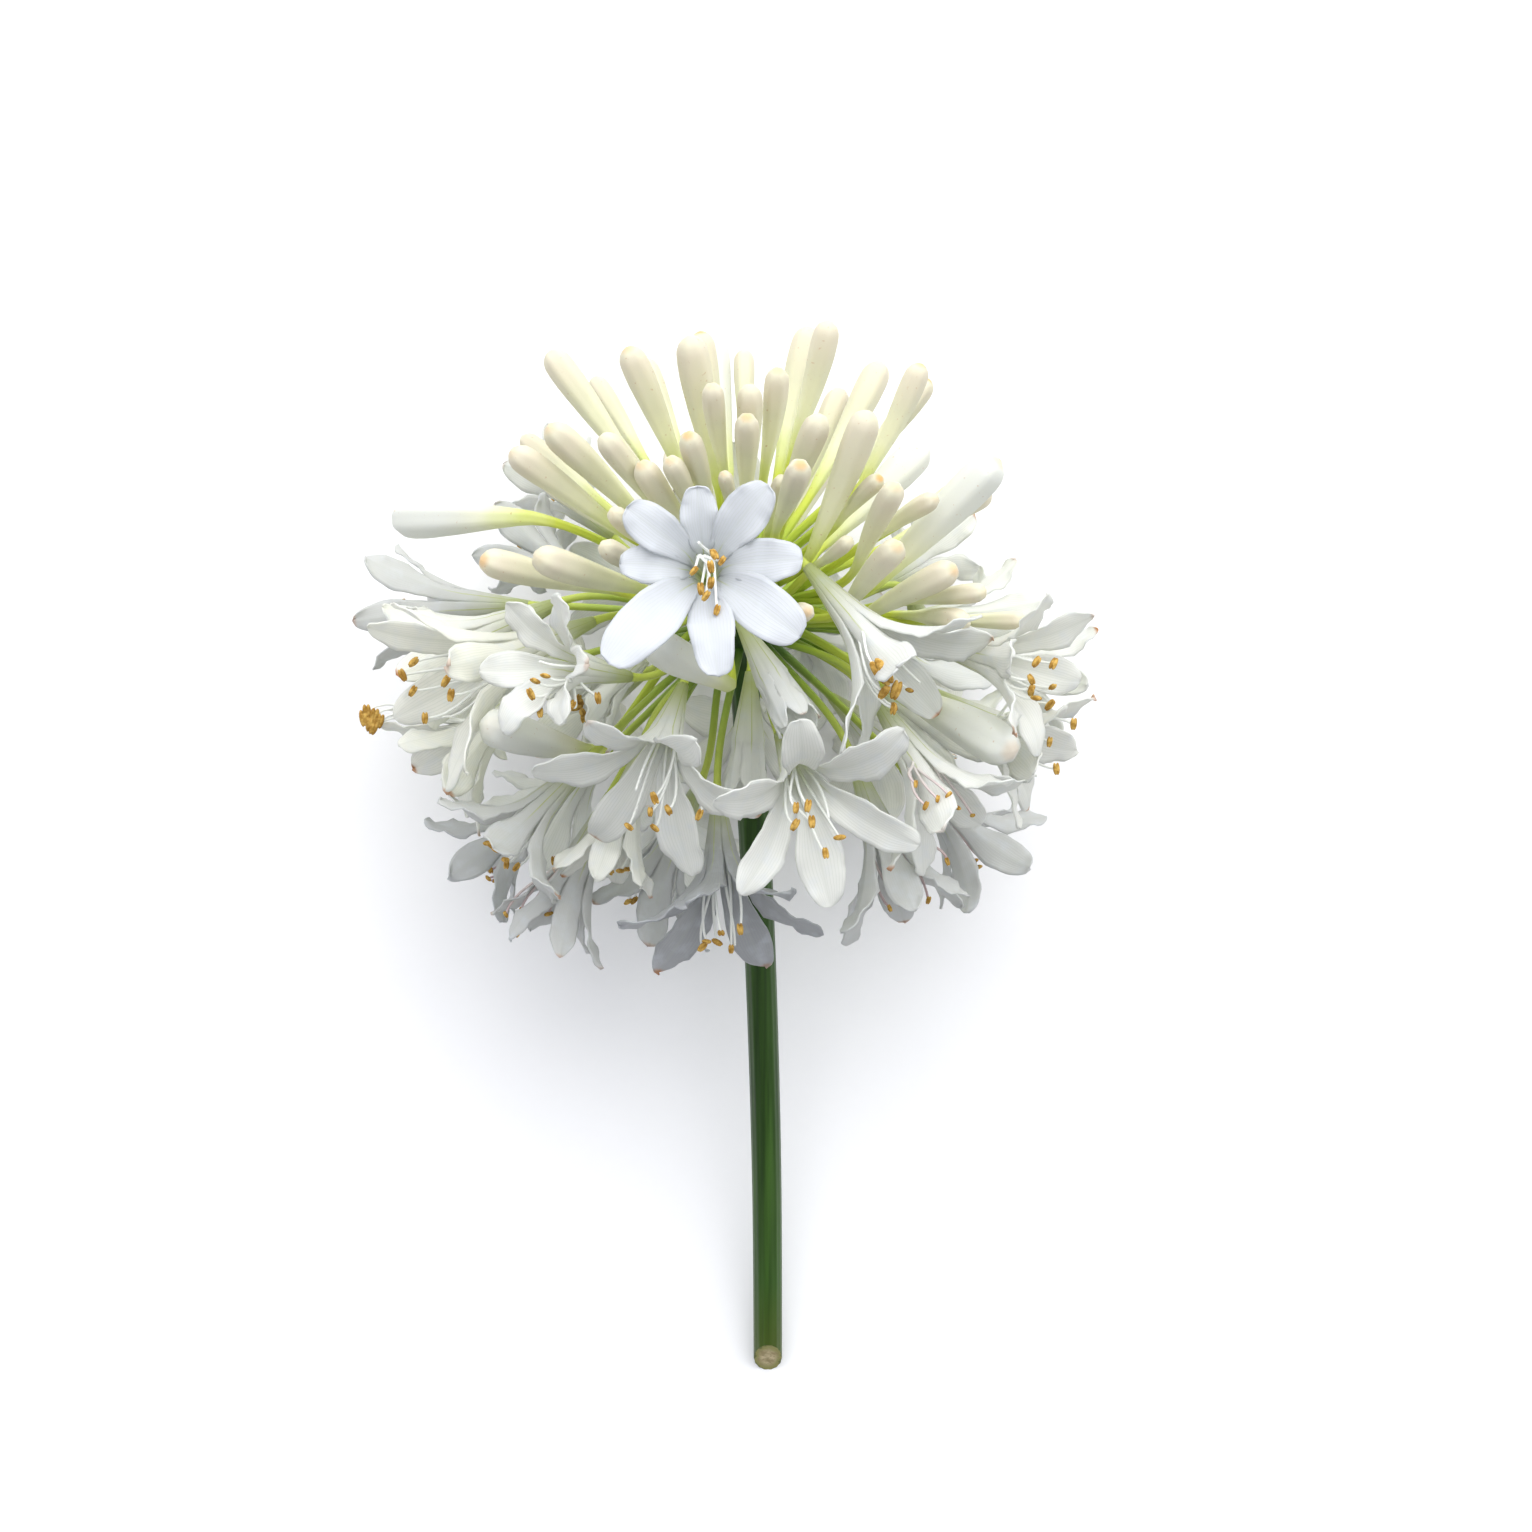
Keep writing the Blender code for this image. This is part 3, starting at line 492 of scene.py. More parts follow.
def tepal_sheet(floret, k, draw, settings):
    """Places of one tepal and its share of the tube, with how far along and across they lie."""
    out, side, rows, tip = floret.tepals[k]
    half_step = math.pi / floret.count
    spread = np.linspace(-1.0, 1.0, settings.columns + 1)
    spokes = [turned(out, side, s * half_step) for s in spread]
    places = []
    along = []

    # Tube, from a closed foot to the mouth.
    height = (floret.mouth - floret.foot).length
    for share in TUBE_SHARES:
        radius = tube_radius(share) if share else 0.0
        for s, spoke in zip(spread, spokes):
            furrowed = radius * (1.0 - FURROW * share * abs(s) ** 6)
            places.append(floret.foot + floret.axis * (height * share) + spoke * furrowed)
        along.append(share - 1.0)

    # Blade, through the solid's stations. The foremost floret keeps stiller than the others.
    rows_up = range(settings.rows + 1)
    parts = [1.0 - (1.0 - j / settings.rows) ** ROW_CROWDING for j in rows_up]
    still = floret.name == "front"
    fuller = FULLER if still else SLIMMER if floret.fertile else WRAPPED
    halves = [(row[1] - row[0]).length / 2 * more for row, more in zip(rows, fuller)]
    inwards = [depth.normalized() for _, _, _, depth in rows]
    cups = [
        ((left + right) / 2 - middle).dot(inward)
        for (left, right, middle, _), inward in zip(rows, inwards)
    ]
    line = through(STATIONS, [row[2] for row in rows] + [tip], parts)
    facing = through(STATIONS, inwards + inwards[-1:], parts)
    cupping = through(STATIONS, cups + [0.0], parts)
    widths = through(STATIONS[:4], halves, parts)

    # How this tepal differs from the next: waves, twist, curl, fold, and a notched or blunt tip.
    phases = [draw.uniform(0.0, 2 * math.pi) for _ in range(4)]
    waves = draw.uniform(1.6, 3.0)
    free = 0.35 if still else 1.0 if floret.fertile else 0.15
    ruffle = settings.wave * (1.0 if floret.fertile else 0.3)
    twist = draw.uniform(-0.3, 0.3) * free
    curl = draw.uniform(-2.6, 1.4) * MM * free
    fold = 1.0 + draw.uniform(-0.3, 1.3) * free
    notch = draw.uniform(0.0, 0.035)
    blunt = 0.34 if still else draw.uniform(0.38, 0.62)
    for part, middle, inward, cup, wide in zip(parts, line, facing, cupping, widths):
        inward = Vector(inward).normalized()
        if part > TIP_START:
            rounding = 1.0 - ((part - TIP_START) / (1.0 - TIP_START)) ** 2
            wide = halves[2] * max(rounding, 0.0) ** blunt
        ahead = side.cross(inward)
        twisted = Matrix.Rotation(twist * part, 3, ahead)
        across = twisted @ side
        inward = twisted @ inward
        blend = min(part / BLADE_START, 1.0)
        blend = blend * blend * (3 - 2 * blend)
        cycle = 2 * math.pi * waves * part
        for s, spoke in zip(spread, spokes):
            # Cupped across, grooved along the middle, waved at the edges and curled at the tip.
            lift = cup * fold * s * s
            lift -= settings.groove * math.exp(-((s / GROOVE_WIDTH) ** 2)) * blend
            edge = ruffle * abs(s) ** EDGE_CROWDING * min(part * 1.6, 1.0)
            phase = phases[0] if s < 0 else phases[1]
            lift += edge * (math.sin(cycle + phase) + 0.4 * math.sin(2.7 * cycle - phase))
            lift += curl * max(part - CURL_START, 0.0) ** 2 / 0.09
            # The outline wanders a little and has a notch at the tip.
            reach = wide * (1.0 + WANDER * math.sin(0.8 * cycle + phases[2] * (1 + s)))
            dip = wide * notch * math.exp(-((s / NOTCH_WIDTH) ** 2)) * max(part - 0.9, 0.0) * 10
            place = Vector(middle) + across * (reach * s) + inward * lift - ahead * dip
            rim = floret.mouth + spoke * (tube_radius(1.0) * (1.0 - FURROW * abs(s) ** 6))
            places.append(rim.lerp(place, blend))
        along.append(part)
    return places, along, spread


def new_object(name, data):
    """Object with the given data, linked to the scene."""
    item = bpy.data.objects.new(name, data)
    bpy.context.scene.collection.objects.link(item)
    return item


def mesh_piece(name, places, faces, surface):
    """Object at the origin with the given mesh, shaded smooth."""
    mesh = bpy.data.meshes.new(name)
    mesh.from_pydata([tuple(place) for place in places], [], faces)
    mesh.materials.append(surface)
    mesh.shade_smooth()
    return new_object(name, mesh)


def give(mesh, name, values):
    """Store one number or vector for each vertex under a name that material or tree reads."""
    kind, slot = ("FLOAT_VECTOR", "vector") if isinstance(values[0], Vector) else ("FLOAT", "value")
    layer = mesh.attributes.new(name, kind, "POINT")
    layer.data.foreach_set(slot, np.asarray(values, np.float32).ravel())


def applied(item):
    """Replace the object's mesh by what its modifiers make of it, and remove them."""
    bpy.context.view_layer.update()
    graph = bpy.context.evaluated_depsgraph_get()
    made = bpy.data.meshes.new_from_object(
        item.evaluated_get(graph), preserve_all_data_layers=True, depsgraph=graph
    )
    item.modifiers.clear()
    old = item.data
    item.data = made
    bpy.data.meshes.remove(old)
    return item


def kept_above_ground(item):
    """Let nothing sink into the ground: what rests on it lies flat."""
    for corner in item.data.vertices:
        corner.co.z = max(corner.co.z, GROUND_GAP)


def perianth(floret, settings, surface):
    """The six or eight tepals and the tube of one floret as one thin closed skin."""
    draw = random.Random("tepals " + floret.name)
    fine = floret.name == "front"
    places = []
    faces = []
    figures = {"along": [], "across": [], "age": [], "warmth": [], "dullness": []}
    warmth = 0.0 if fine else draw.uniform(0.5, 1.0)
    # How far this floret's tepals are mixed toward gray as painted shade.
    dullness = PAINTED_SHADE_FLORETS.get(floret.name, 0.0)
    for k in range(floret.count):
        sheet, along, spread = tepal_sheet(floret, k, draw, settings)
        first = len(places)
        places.extend(sheet)
        wide = len(spread)
        age = draw.random() * (0.5 if fine else 1.0)
        for part in along:
            figures["across"].extend(abs(s) for s in spread)
            row = {"along": part, "age": age, "warmth": warmth, "dullness": dullness}
            for name, value in row.items():
                figures[name].extend([value] * wide)
        for j in range(len(along) - 1):
            for i in range(wide - 1):
                a = first + j * wide + i
                faces.append((a, a + 1, a + 1 + wide, a + wide))
    item = mesh_piece("flower_" + floret.name, places, faces, surface)
    for name, values in figures.items():
        give(item.data, name, values)
    cloth = bmesh.new()
    cloth.from_mesh(item.data)
    bmesh.ops.remove_doubles(cloth, verts=cloth.verts, dist=WELD)
    cloth.to_mesh(item.data)
    cloth.free()
    skin = item.modifiers.new("skin", "SOLIDIFY")
    skin.thickness = settings.thickness
    skin.offset = 0.0
    return applied(item)


def feed(target, feeds):
    """Set inputs of a node to values, or join them to sockets or to other nodes' results."""
    for key, value in feeds.items():
        if isinstance(value, bpy.types.Node):
            value = next(socket for socket in value.outputs if socket.enabled)
        if isinstance(value, bpy.types.NodeSocket):
            target.id_data.links.new(value, target.inputs[key])
        elif target.inputs[key].type == "RGBA":
            target.inputs[key].default_value = (*value, 1.0)
        else:
            target.inputs[key].default_value = value


def add_node(tree, kind, feeds=None, **settings):
    """A node with its settings, and with its inputs fed."""
    fresh = tree.nodes.new(kind)
    for name, value in settings.items():
        setattr(fresh, name, value)
    feed(fresh, feeds or {})
    return fresh


def start_tree(name, *sockets):
    """Geometry tree with the given inputs; returns it, what adds a node to it, and its inputs."""
    tree = bpy.data.node_groups.new(name, "GeometryNodeTree")
    for label, kind in (("Geometry", "Geometry"), *sockets, ("Skin", "Material")):
        tree.interface.new_socket(label, in_out="INPUT", socket_type="NodeSocket" + kind)
    tree.interface.new_socket("Geometry", in_out="OUTPUT", socket_type="NodeSocketGeometry")
    node = partial(add_node, tree)
    return tree, node, node("NodeGroupInput").outputs


def end_tree(node, given, geometry):
    """Smooth, realize and surface the geometry, and send it out."""
    smooth = node("GeometryNodeSetShadeSmooth", {"Geometry": geometry})
    real = node("GeometryNodeRealizeInstances", {"Geometry": smooth})
    coated = node("GeometryNodeSetMaterial", {"Geometry": real, "Material": given["Skin"]})
    node("NodeGroupOutput", {0: coated})


def swept_tree(name, outline=()):
    """Ribbed stalks that follow paths, or, where an outline is given, seamed buds on stalks."""
    sockets = (("Sides", "Int"), ("Ribs", "Int"), ("Rib Depth", "Float"))
    tree, node, given = start_tree(name, *sockets)

    # Cross-section of radius one.
    ring = {"Resolution": given["Sides"], "Radius": 1.0}
    circle = node("GeometryNodeCurvePrimitiveCircle", ring, mode="RADIUS")
    place = node("GeometryNodeInputPosition")
    split = node("ShaderNodeSeparateXYZ", {0: place}).outputs
    turn = node(MATH, {0: split["Y"], 1: split["X"]}, operation="ARCTAN2")
    many = node(MATH, {0: turn, 1: given["Ribs"]}, operation="MULTIPLY")
    swell = node(MATH, {0: many}, operation="COSINE")
    rise = node(MATH, {0: swell, 1: given["Rib Depth"]}, operation="MULTIPLY")
    push = node("ShaderNodeVectorMath", {0: place, "Scale": rise}, operation="SCALE")
    shaped = node("GeometryNodeSetPosition", {"Geometry": circle, "Offset": push})

    # Radius at each point of a path: the stalk's own, or the bud's where that is greater.
    wide = node(NAMED, {"Name": "stalk_radius"}, data_type="FLOAT")
    if outline:
        part, half = (
            node(NAMED, {"Name": label}, data_type="FLOAT") for label in ("along", "half_width")
        )
        club = node("ShaderNodeFloatCurve", {"Factor": 1.0, "Value": part})
        points = club.mapping.curves[0].points
        points[0].location = outline[0]
        points[1].location = outline[-1]
        for point in outline[1:-1]:
            points.new(*point)
        club.mapping.update()
        swollen = node(MATH, {0: club, 1: half}, operation="MULTIPLY")
        wide = node(MATH, {0: swollen, 1: wide}, operation="MAXIMUM")
    path = node("GeometryNodeMeshToCurve", {"Mesh": given["Geometry"]})
    sweep = {"Curve": path, "Profile Curve": shaped, "Scale": wide, "Fill Caps": True}
    geometry = node("GeometryNodeCurveToMesh", sweep)
    if outline:
        weld = {"Geometry": geometry, "Distance": WELD}
        geometry = node("GeometryNodeMergeByDistance", weld)
    end_tree(node, given, geometry)
    return tree


def anther_tree():
    """Two-lobed anthers, one on each point, turned along the way stored there."""
    tree, node, given = start_tree("anthers", ("Anther Length", "Float"))
    lobe = node("GeometryNodeMeshUVSphere", {"Segments": 8, "Rings": 7, "Radius": 0.5})
    pair = node("GeometryNodeJoinGeometry")
    for side in (-1, 1):
        lie = {
            "Geometry": lobe,
            "Translation": (0.1 * side, 0.0, 0.0),
            "Rotation": (0.0, 0.04 * side, 0.0),
            "Scale": (0.34, 0.42, 1.0),
        }
        feed(pair, {0: node("GeometryNodeTransform", lie)})
    way = node(NAMED, {"Name": "anther_way"}, data_type="FLOAT_VECTOR")
    size = node(NAMED, {"Name": "anther_size"}, data_type="FLOAT")
    long = node(MATH, {0: size, 1: given["Anther Length"]}, operation="MULTIPLY")
    lie = {
        "Points": given["Geometry"],
        "Instance": pair,
        "Rotation": node("FunctionNodeAlignRotationToVector", {"Vector": way}, axis="Z"),
        "Scale": long,
    }
    end_tree(node, given, node("GeometryNodeInstanceOnPoints", lie))
    return tree


class Paths:
    """Points, edges and figures of many stalks, gathered for one tree."""

    def __init__(self, *figures):
        self.places = []
        self.edges = []
        self.figures = {name: [] for name in figures}

    def add(self, points, **figures):
        """Add one path, with a number for each of its points under each name."""
        first = len(self.places)
        self.places.extend(points)
        self.edges.extend((first + k, first + k + 1) for k in range(len(points) - 1))
        for name, values in figures.items():
            self.figures[name].extend(values)


def grown(name, tree, paths, values):
    """Piece that a tree makes from points and paths, as a plain mesh."""
    mesh = bpy.data.meshes.new(name)
    mesh.from_pydata([tuple(place) for place in paths.places], paths.edges, [])
    for label, numbers in paths.figures.items():
        give(mesh, label, numbers)
    item = new_object(name, mesh)
    nodes = item.modifiers.new("grown", "NODES")
    nodes.node_group = tree
    for socket in tree.interface.items_tree:
        if socket.in_out == "INPUT" and socket.name in values:
            nodes[socket.identifier] = values[socket.name]
    return applied(item)


def start_material(name, roughness, ior, specular, *attributes):
    """Material with its shader, what adds a node, the object's own place, and the attributes."""
    surface = bpy.data.materials.new(name)
    surface.use_nodes = True
    node = partial(add_node, surface.node_tree)
    shader = surface.node_tree.nodes["Principled BSDF"]
    feed(shader, {"Roughness": roughness, "IOR": ior, "Specular IOR Level": specular})
    place = node("ShaderNodeTexCoord").outputs["Object"]
    read = [node("ShaderNodeAttribute", attribute_name=a).outputs["Fac"] for a in attributes]
    return surface, shader, node, place, *read


def end_material(shader, ground, coats, relief=None, invert=False):
    """Lay coats of colour over the ground, each by its share, and add relief; returns the top."""
    node = partial(add_node, shader.id_data)
    for share, tone in coats:
        ground = node(MIX, {"Factor": share, "A": ground, "B": tone}, **COLOURS)
    feed(shader, {"Base Color": ground})
    if relief:
        feed(shader, {"Normal": node("ShaderNodeBump", relief, invert=invert)})
    return ground


def set_stops(ramp, stops):
    """Set the places and colours along a colour ramp."""
    ends = ramp.color_ramp.elements
    for end, (position, tone) in zip(ends, (stops[0], stops[-1])):
        end.position = position
        end.color = (*tone, 1.0)
    for position, tone in stops[1:-1]:
        ends.new(position).color = (*tone, 1.0)


def tepal_surface(colours):
    """Fresh tepal: thin layers of clear cells with air between them.

    It looks soft white with a faint silky gloss, lets light through, and shows fine parallel veins,
    a yellow-green foot and, where it is older, a withered point.
    """
    read = ("along", "across", "age", "warmth", "dullness")
    surface, shader, node, place, along, across, age, warmth, dullness = start_material(
        "fresh_white_tepal", 0.46, 1.4, 0.4, *read
    )
    feed(shader, {"Sheen Weight": 0.12, "Sheen Roughness": 0.4})
    blade = colours.white
    # A random warmer white, then painted shade: gray mixed in on florets that lie in shade.
    for share, tone in ((warmth, colours.warm), (dullness, colours.dull)):
        blade = node(MIX, {"Factor": share, "A": blade, "B": tone}, **COLOURS)

    # Foot of the tube yellow-green, fading out just past the mouth.
    fade = node(RANGE, {"Value": along, "From Min": -1.0, "From Max": 0.3}, **SOFT)
    tube = node(RANGE, {"Value": fade, "To Max": 2.0})

    # Seven veins a side, a millimetre or less apart, wandering a little, and a stronger midrib.
    drift = node(NOISE, {"Vector": place, "Scale": 160.0, "Detail": 2.0})
    shifted = node(MATH, {0: drift, 1: 0.12, 2: across}, operation="MULTIPLY_ADD")
    lines = node(MATH, {0: shifted, 1: 44.0}, operation="MULTIPLY")
    wave = node(MATH, {0: lines}, operation="SINE")
    veins = node(RANGE, {"Value": wave, "From Min": 0.3, "From Max": 1.0}, **SOFT)
    rib = node(RANGE, {"Value": across, "From Min": 0.1, "From Max": 0.0}, **SOFT)
    both = node(MATH, {0: veins, 1: rib}, operation="MAXIMUM")
    faint = node(MATH, {0: both, 1: 0.24}, operation="MULTIPLY")

    # A yellow-green line down the middle of each tepal's foot.
    foot = node(RANGE, {"Value": along, "From Min": 0.3, "From Max": 0.0}, **SOFT)
    line = node(MATH, {0: rib, 1: foot}, operation="MULTIPLY")

    # Broad cloudiness of the cell layers, some 4 mm across.
    clouds = node(NOISE, {"Vector": place, "Scale": 240.0, "Detail": 3.0})
    cloudy = node(RANGE, {"Value": clouds, "From Min": 0.5, "From Max": 0.75, "To Max": 0.35})

    # Withered point, only where the tepal is old enough.
    near = node(RANGE, {"Value": along, "From Min": 0.955, "From Max": 1.0}, **SOFT)
    old = node(RANGE, {"Value": age, "From Min": 0.7, "From Max": 1.0})
    spot = node(MATH, {0: near, 1: old}, operation="MULTIPLY")

    # Veins stand a few hundredths of a millimetre proud of a finely pebbled skin.
    pebbles = node(NOISE, {"Vector": place, "Scale": 1800.0, "Detail": 2.0})
    relief = node(MATH, {0: pebbles, 1: 0.35, 2: both}, operation="MULTIPLY_ADD")
    skin = end_material(
        shader,
        colours.base,
        (
            (tube, linear("EBEED6")),
            (fade, blade),
            (faint, colours.vein),
            (line, linear("CBD384")),
            (cloudy, linear("E4E9EE")),
            (spot, colours.tip),
        ),
        {"Height": relief, "Strength": 0.35, "Distance": 0.08 * MM},
    )

    # The tube is lit through from all round, a blade mostly from one side.
    thin = {"Value": along, "From Min": -0.5, "From Max": 0.25, "To Min": 0.6, "To Max": 0.34}
    glow = node("ShaderNodeBsdfTranslucent", {"Color": skin})
    both_ways = node("ShaderNodeMixShader", {0: node(RANGE, thin), 1: shader, 2: glow})
    feed(surface.node_tree.nodes["Material Output"], {"Surface": both_ways})
    return surface


def bud_surface(colours):
    """Waxy bud skin: cream with a warm flush, lime at the foot and a small yellow-brown point."""
    surface, shader, node, place, along, age, white = start_material(
        "waxy_bud_skin", 0.5, 1.42, 0.35, "along", "age", "white"
    )
    feed(shader, {"Subsurface Weight": 0.12, "Subsurface Radius": (1.0, 0.9, 0.6)})
    feed(shader, {"Subsurface Scale": 1.2 * MM})
    mottle = node(NOISE, {"Vector": place, "Scale": 130.0, "Detail": 3.0})
    height = node(MATH, {0: mottle, 1: 0.28, 2: along}, operation="MULTIPLY_ADD")
    fade = node(RANGE, {"Value": height, "From Min": -0.76, "From Max": 1.24})
    ramp = node("ShaderNodeValToRGB", {0: fade})
    stops = (
        (0.0, linear("9BB43C")),
        (0.22, linear("B4C446")),
        (0.36, colours.lime),
        (0.46, linear("D6DC98")),
        (0.58, linear("E3E3C0")),
        (0.74, colours.cream),
        (0.9, colours.blush),
        (1.0, colours.cream),
    )
    set_stops(ramp, stops)
    upper = node(RANGE, {"Value": along, "From Min": 0.05, "From Max": 0.6}, **SOFT)
    opening = node(MATH, {0: white, 1: upper}, operation="MULTIPLY")
    near = node(RANGE, {"Value": along, "From Min": 0.965, "From Max": 1.0}, **SOFT)
    old = node(MATH, {0: near, 1: age}, operation="MULTIPLY")

    # Small brown freckles, about half a millimetre, here and there.
    freckles = node(NOISE, {"Vector": place, "Scale": 900.0, "Detail": 1.0})
    specks = node(RANGE, {"Value": freckles, "From Min": 0.72, "From Max": 0.8, "To Max": 0.5})
    grain = node(NOISE, {"Vector": place, "Scale": 1500.0, "Detail": 2.0})
    coats = ((opening, colours.white), (old, colours.nub), (specks, linear("B98E5E")))
    relief = {"Height": grain, "Strength": 0.4, "Distance": 0.08 * MM}
    end_material(shader, ramp, coats, relief)
    return surface


def stalk_surface(colours):
    """Flower stalk: smooth green skin, dark at the receptacle and lime below the flower."""
    surface, shader, node, place, along = start_material(
        "flower_stalk_skin", 0.42, 1.42, 0.5, "along"
    )
    mottle = node(NOISE, {"Vector": place, "Scale": 220.0, "Detail": 3.0})
    height = node(MATH, {0: mottle, 1: 0.25, 2: along}, operation="MULTIPLY_ADD")
    ramp = node("ShaderNodeValToRGB", {0: height})
    stops = ((0.12, colours.stalk_dark), (0.6, linear("8FA63A")), (1.0, colours.stalk_light))
    set_stops(ramp, stops)
    end_material(shader, ramp, (), {"Height": mottle, "Strength": 0.3, "Distance": 0.1 * MM})
    return surface


def stem_surface(colours):
    """Stem skin: dark green and slightly waxy, with paler streaks of fibre under it."""
    surface, shader, node, place, along = start_material("stem_skin", 0.4, 1.42, 0.5, "along")

    # Streaks about a millimetre wide and some 40 mm long, and bands six times as wide, laid along
    # the stem.
    lie = {"Vector": place, "Rotation": (-LIE_ANGLE, 0.0, 0.0)}
    laid = node("ShaderNodeMapping", lie, vector_type="POINT")
    streaks, bands = (
        node(
            NOISE,
            {
                "Vector": node("ShaderNodeMapping", {"Vector": laid, "Scale": scale}),
                "Scale": 1.0,
                "Detail": detail,
            },
        )
        for scale, detail in (((900.0, 22.0, 900.0), 3.0), ((160.0, 14.0, 160.0), 2.0))
    )
    mixed = node(MATH, {0: streaks, 1: bands}, operation="ADD")
    shade = node(RANGE, {"Value": mixed, "From Min": 0.75, "From Max": 1.3})

    # Sap has stained the last 25 mm above the cut.
    foot = node(RANGE, {"Value": along, "From Min": 0.15, "From Max": 0.05})
    stain = node(MATH, {0: foot, 1: bands}, operation="MULTIPLY", use_clamp=True)
    gloss = {"Value": bands, "From Min": 0.3, "From Max": 0.7, "To Min": 0.34, "To Max": 0.5}
    feed(shader, {"Roughness": node(RANGE, gloss)})
    coats = ((shade, colours.light), (stain, colours.stain))
    relief = {"Height": streaks, "Strength": 0.5, "Distance": 0.15 * MM}
    end_material(shader, colours.dark, coats, relief)
    return surface


def cut_surface(colours):
    """Cut face: pale mottled pith dotted with vessel bundles, in a ragged ring of green flesh."""
    surface, shader, node, place, depth = start_material(
        "cut_pith", 0.55, 1.36, 0.5, "cut_depth"
    )
    bundles = node("ShaderNodeTexVoronoi", {"Vector": place, "Scale": 1100.0}, feature="F1")
    dots = node(RANGE, {"Value": bundles, "From Min": 0.35, "From Max": 0.15, "To Max": 0.5})
    clouds = node(NOISE, {"Vector": place, "Scale": 420.0, "Detail": 3.0})
    mottled = node(RANGE, {"Value": clouds, "From Min": 0.36, "From Max": 0.64})
    ragged = node(MATH, {0: mottled, 1: 0.25, 2: depth}, operation="MULTIPLY_ADD")
    flesh, rim = (
        node(RANGE, {"Value": ragged, "From Min": start, "From Max": end}, **SOFT)
        for start, end in ((0.6, 0.95), (1.0, 1.15))
    )
    coats = (
        (mottled, linear("CDBD92")),
        (dots, linear("7C6B42")),
        (flesh, colours.flesh),
        (rim, colours.rim),
    )
    relief = {"Height": clouds, "Strength": 0.6, "Distance": 0.3 * MM}
    end_material(shader, colours.pith, coats, relief)
    return surface


def filament_surface(colours):
    """Filament: a moist white thread, greenish where it leaves the throat."""
    surface, shader, node, place, along, dry = start_material(
        "stamen_filament", 0.4, 1.4, 0.5, "along", "withered"
    )
    mottle = node(NOISE, {"Vector": place, "Scale": 500.0, "Detail": 2.0})
    height = node(MATH, {0: mottle, 1: 0.2, 2: along}, operation="MULTIPLY_ADD")
    shade = node(RANGE, {"Value": height, "From Max": 0.5})
    coats = ((shade, colours.filament), (dry, colours.withered))
    relief = {"Height": mottle, "Strength": 0.3, "Distance": 0.05 * MM}
    end_material(shader, linear("D5DDA8"), coats, relief)
    return surface


def anther_surface(colours):
    """Ripe anther: matt ochre skin dusted with golden grains of pollen."""
    surface, shader, node, place = start_material("pollen_dusted_anther", 0.8, 1.45, 0.25)
    grains = node("ShaderNodeTexVoronoi", {"Vector": place, "Scale": 4200.0}, feature="F1")
    patches = node(NOISE, {"Vector": place, "Scale": 700.0, "Detail": 3.0})
    dust = node(RANGE, {"Value": patches, "From Min": 0.4, "From Max": 0.62})
    relief = {"Height": grains, "Strength": 0.8, "Distance": 0.1 * MM}
    end_material(shader, colours.anther, ((dust, colours.pollen),), relief, invert=True)
    return surface


def floor_surface(colours):
    """Plain painted board with the faintest roller texture."""
    surface, shader, node, place = start_material("pale_painted_board", 0.7, 1.45, 0.2)
    stipple = node(NOISE, {"Vector": place, "Scale": 300.0, "Detail": 2.0})
    end_material(shader, colours.floor, ((stipple, linear("FCFCFB")),))
    return surface


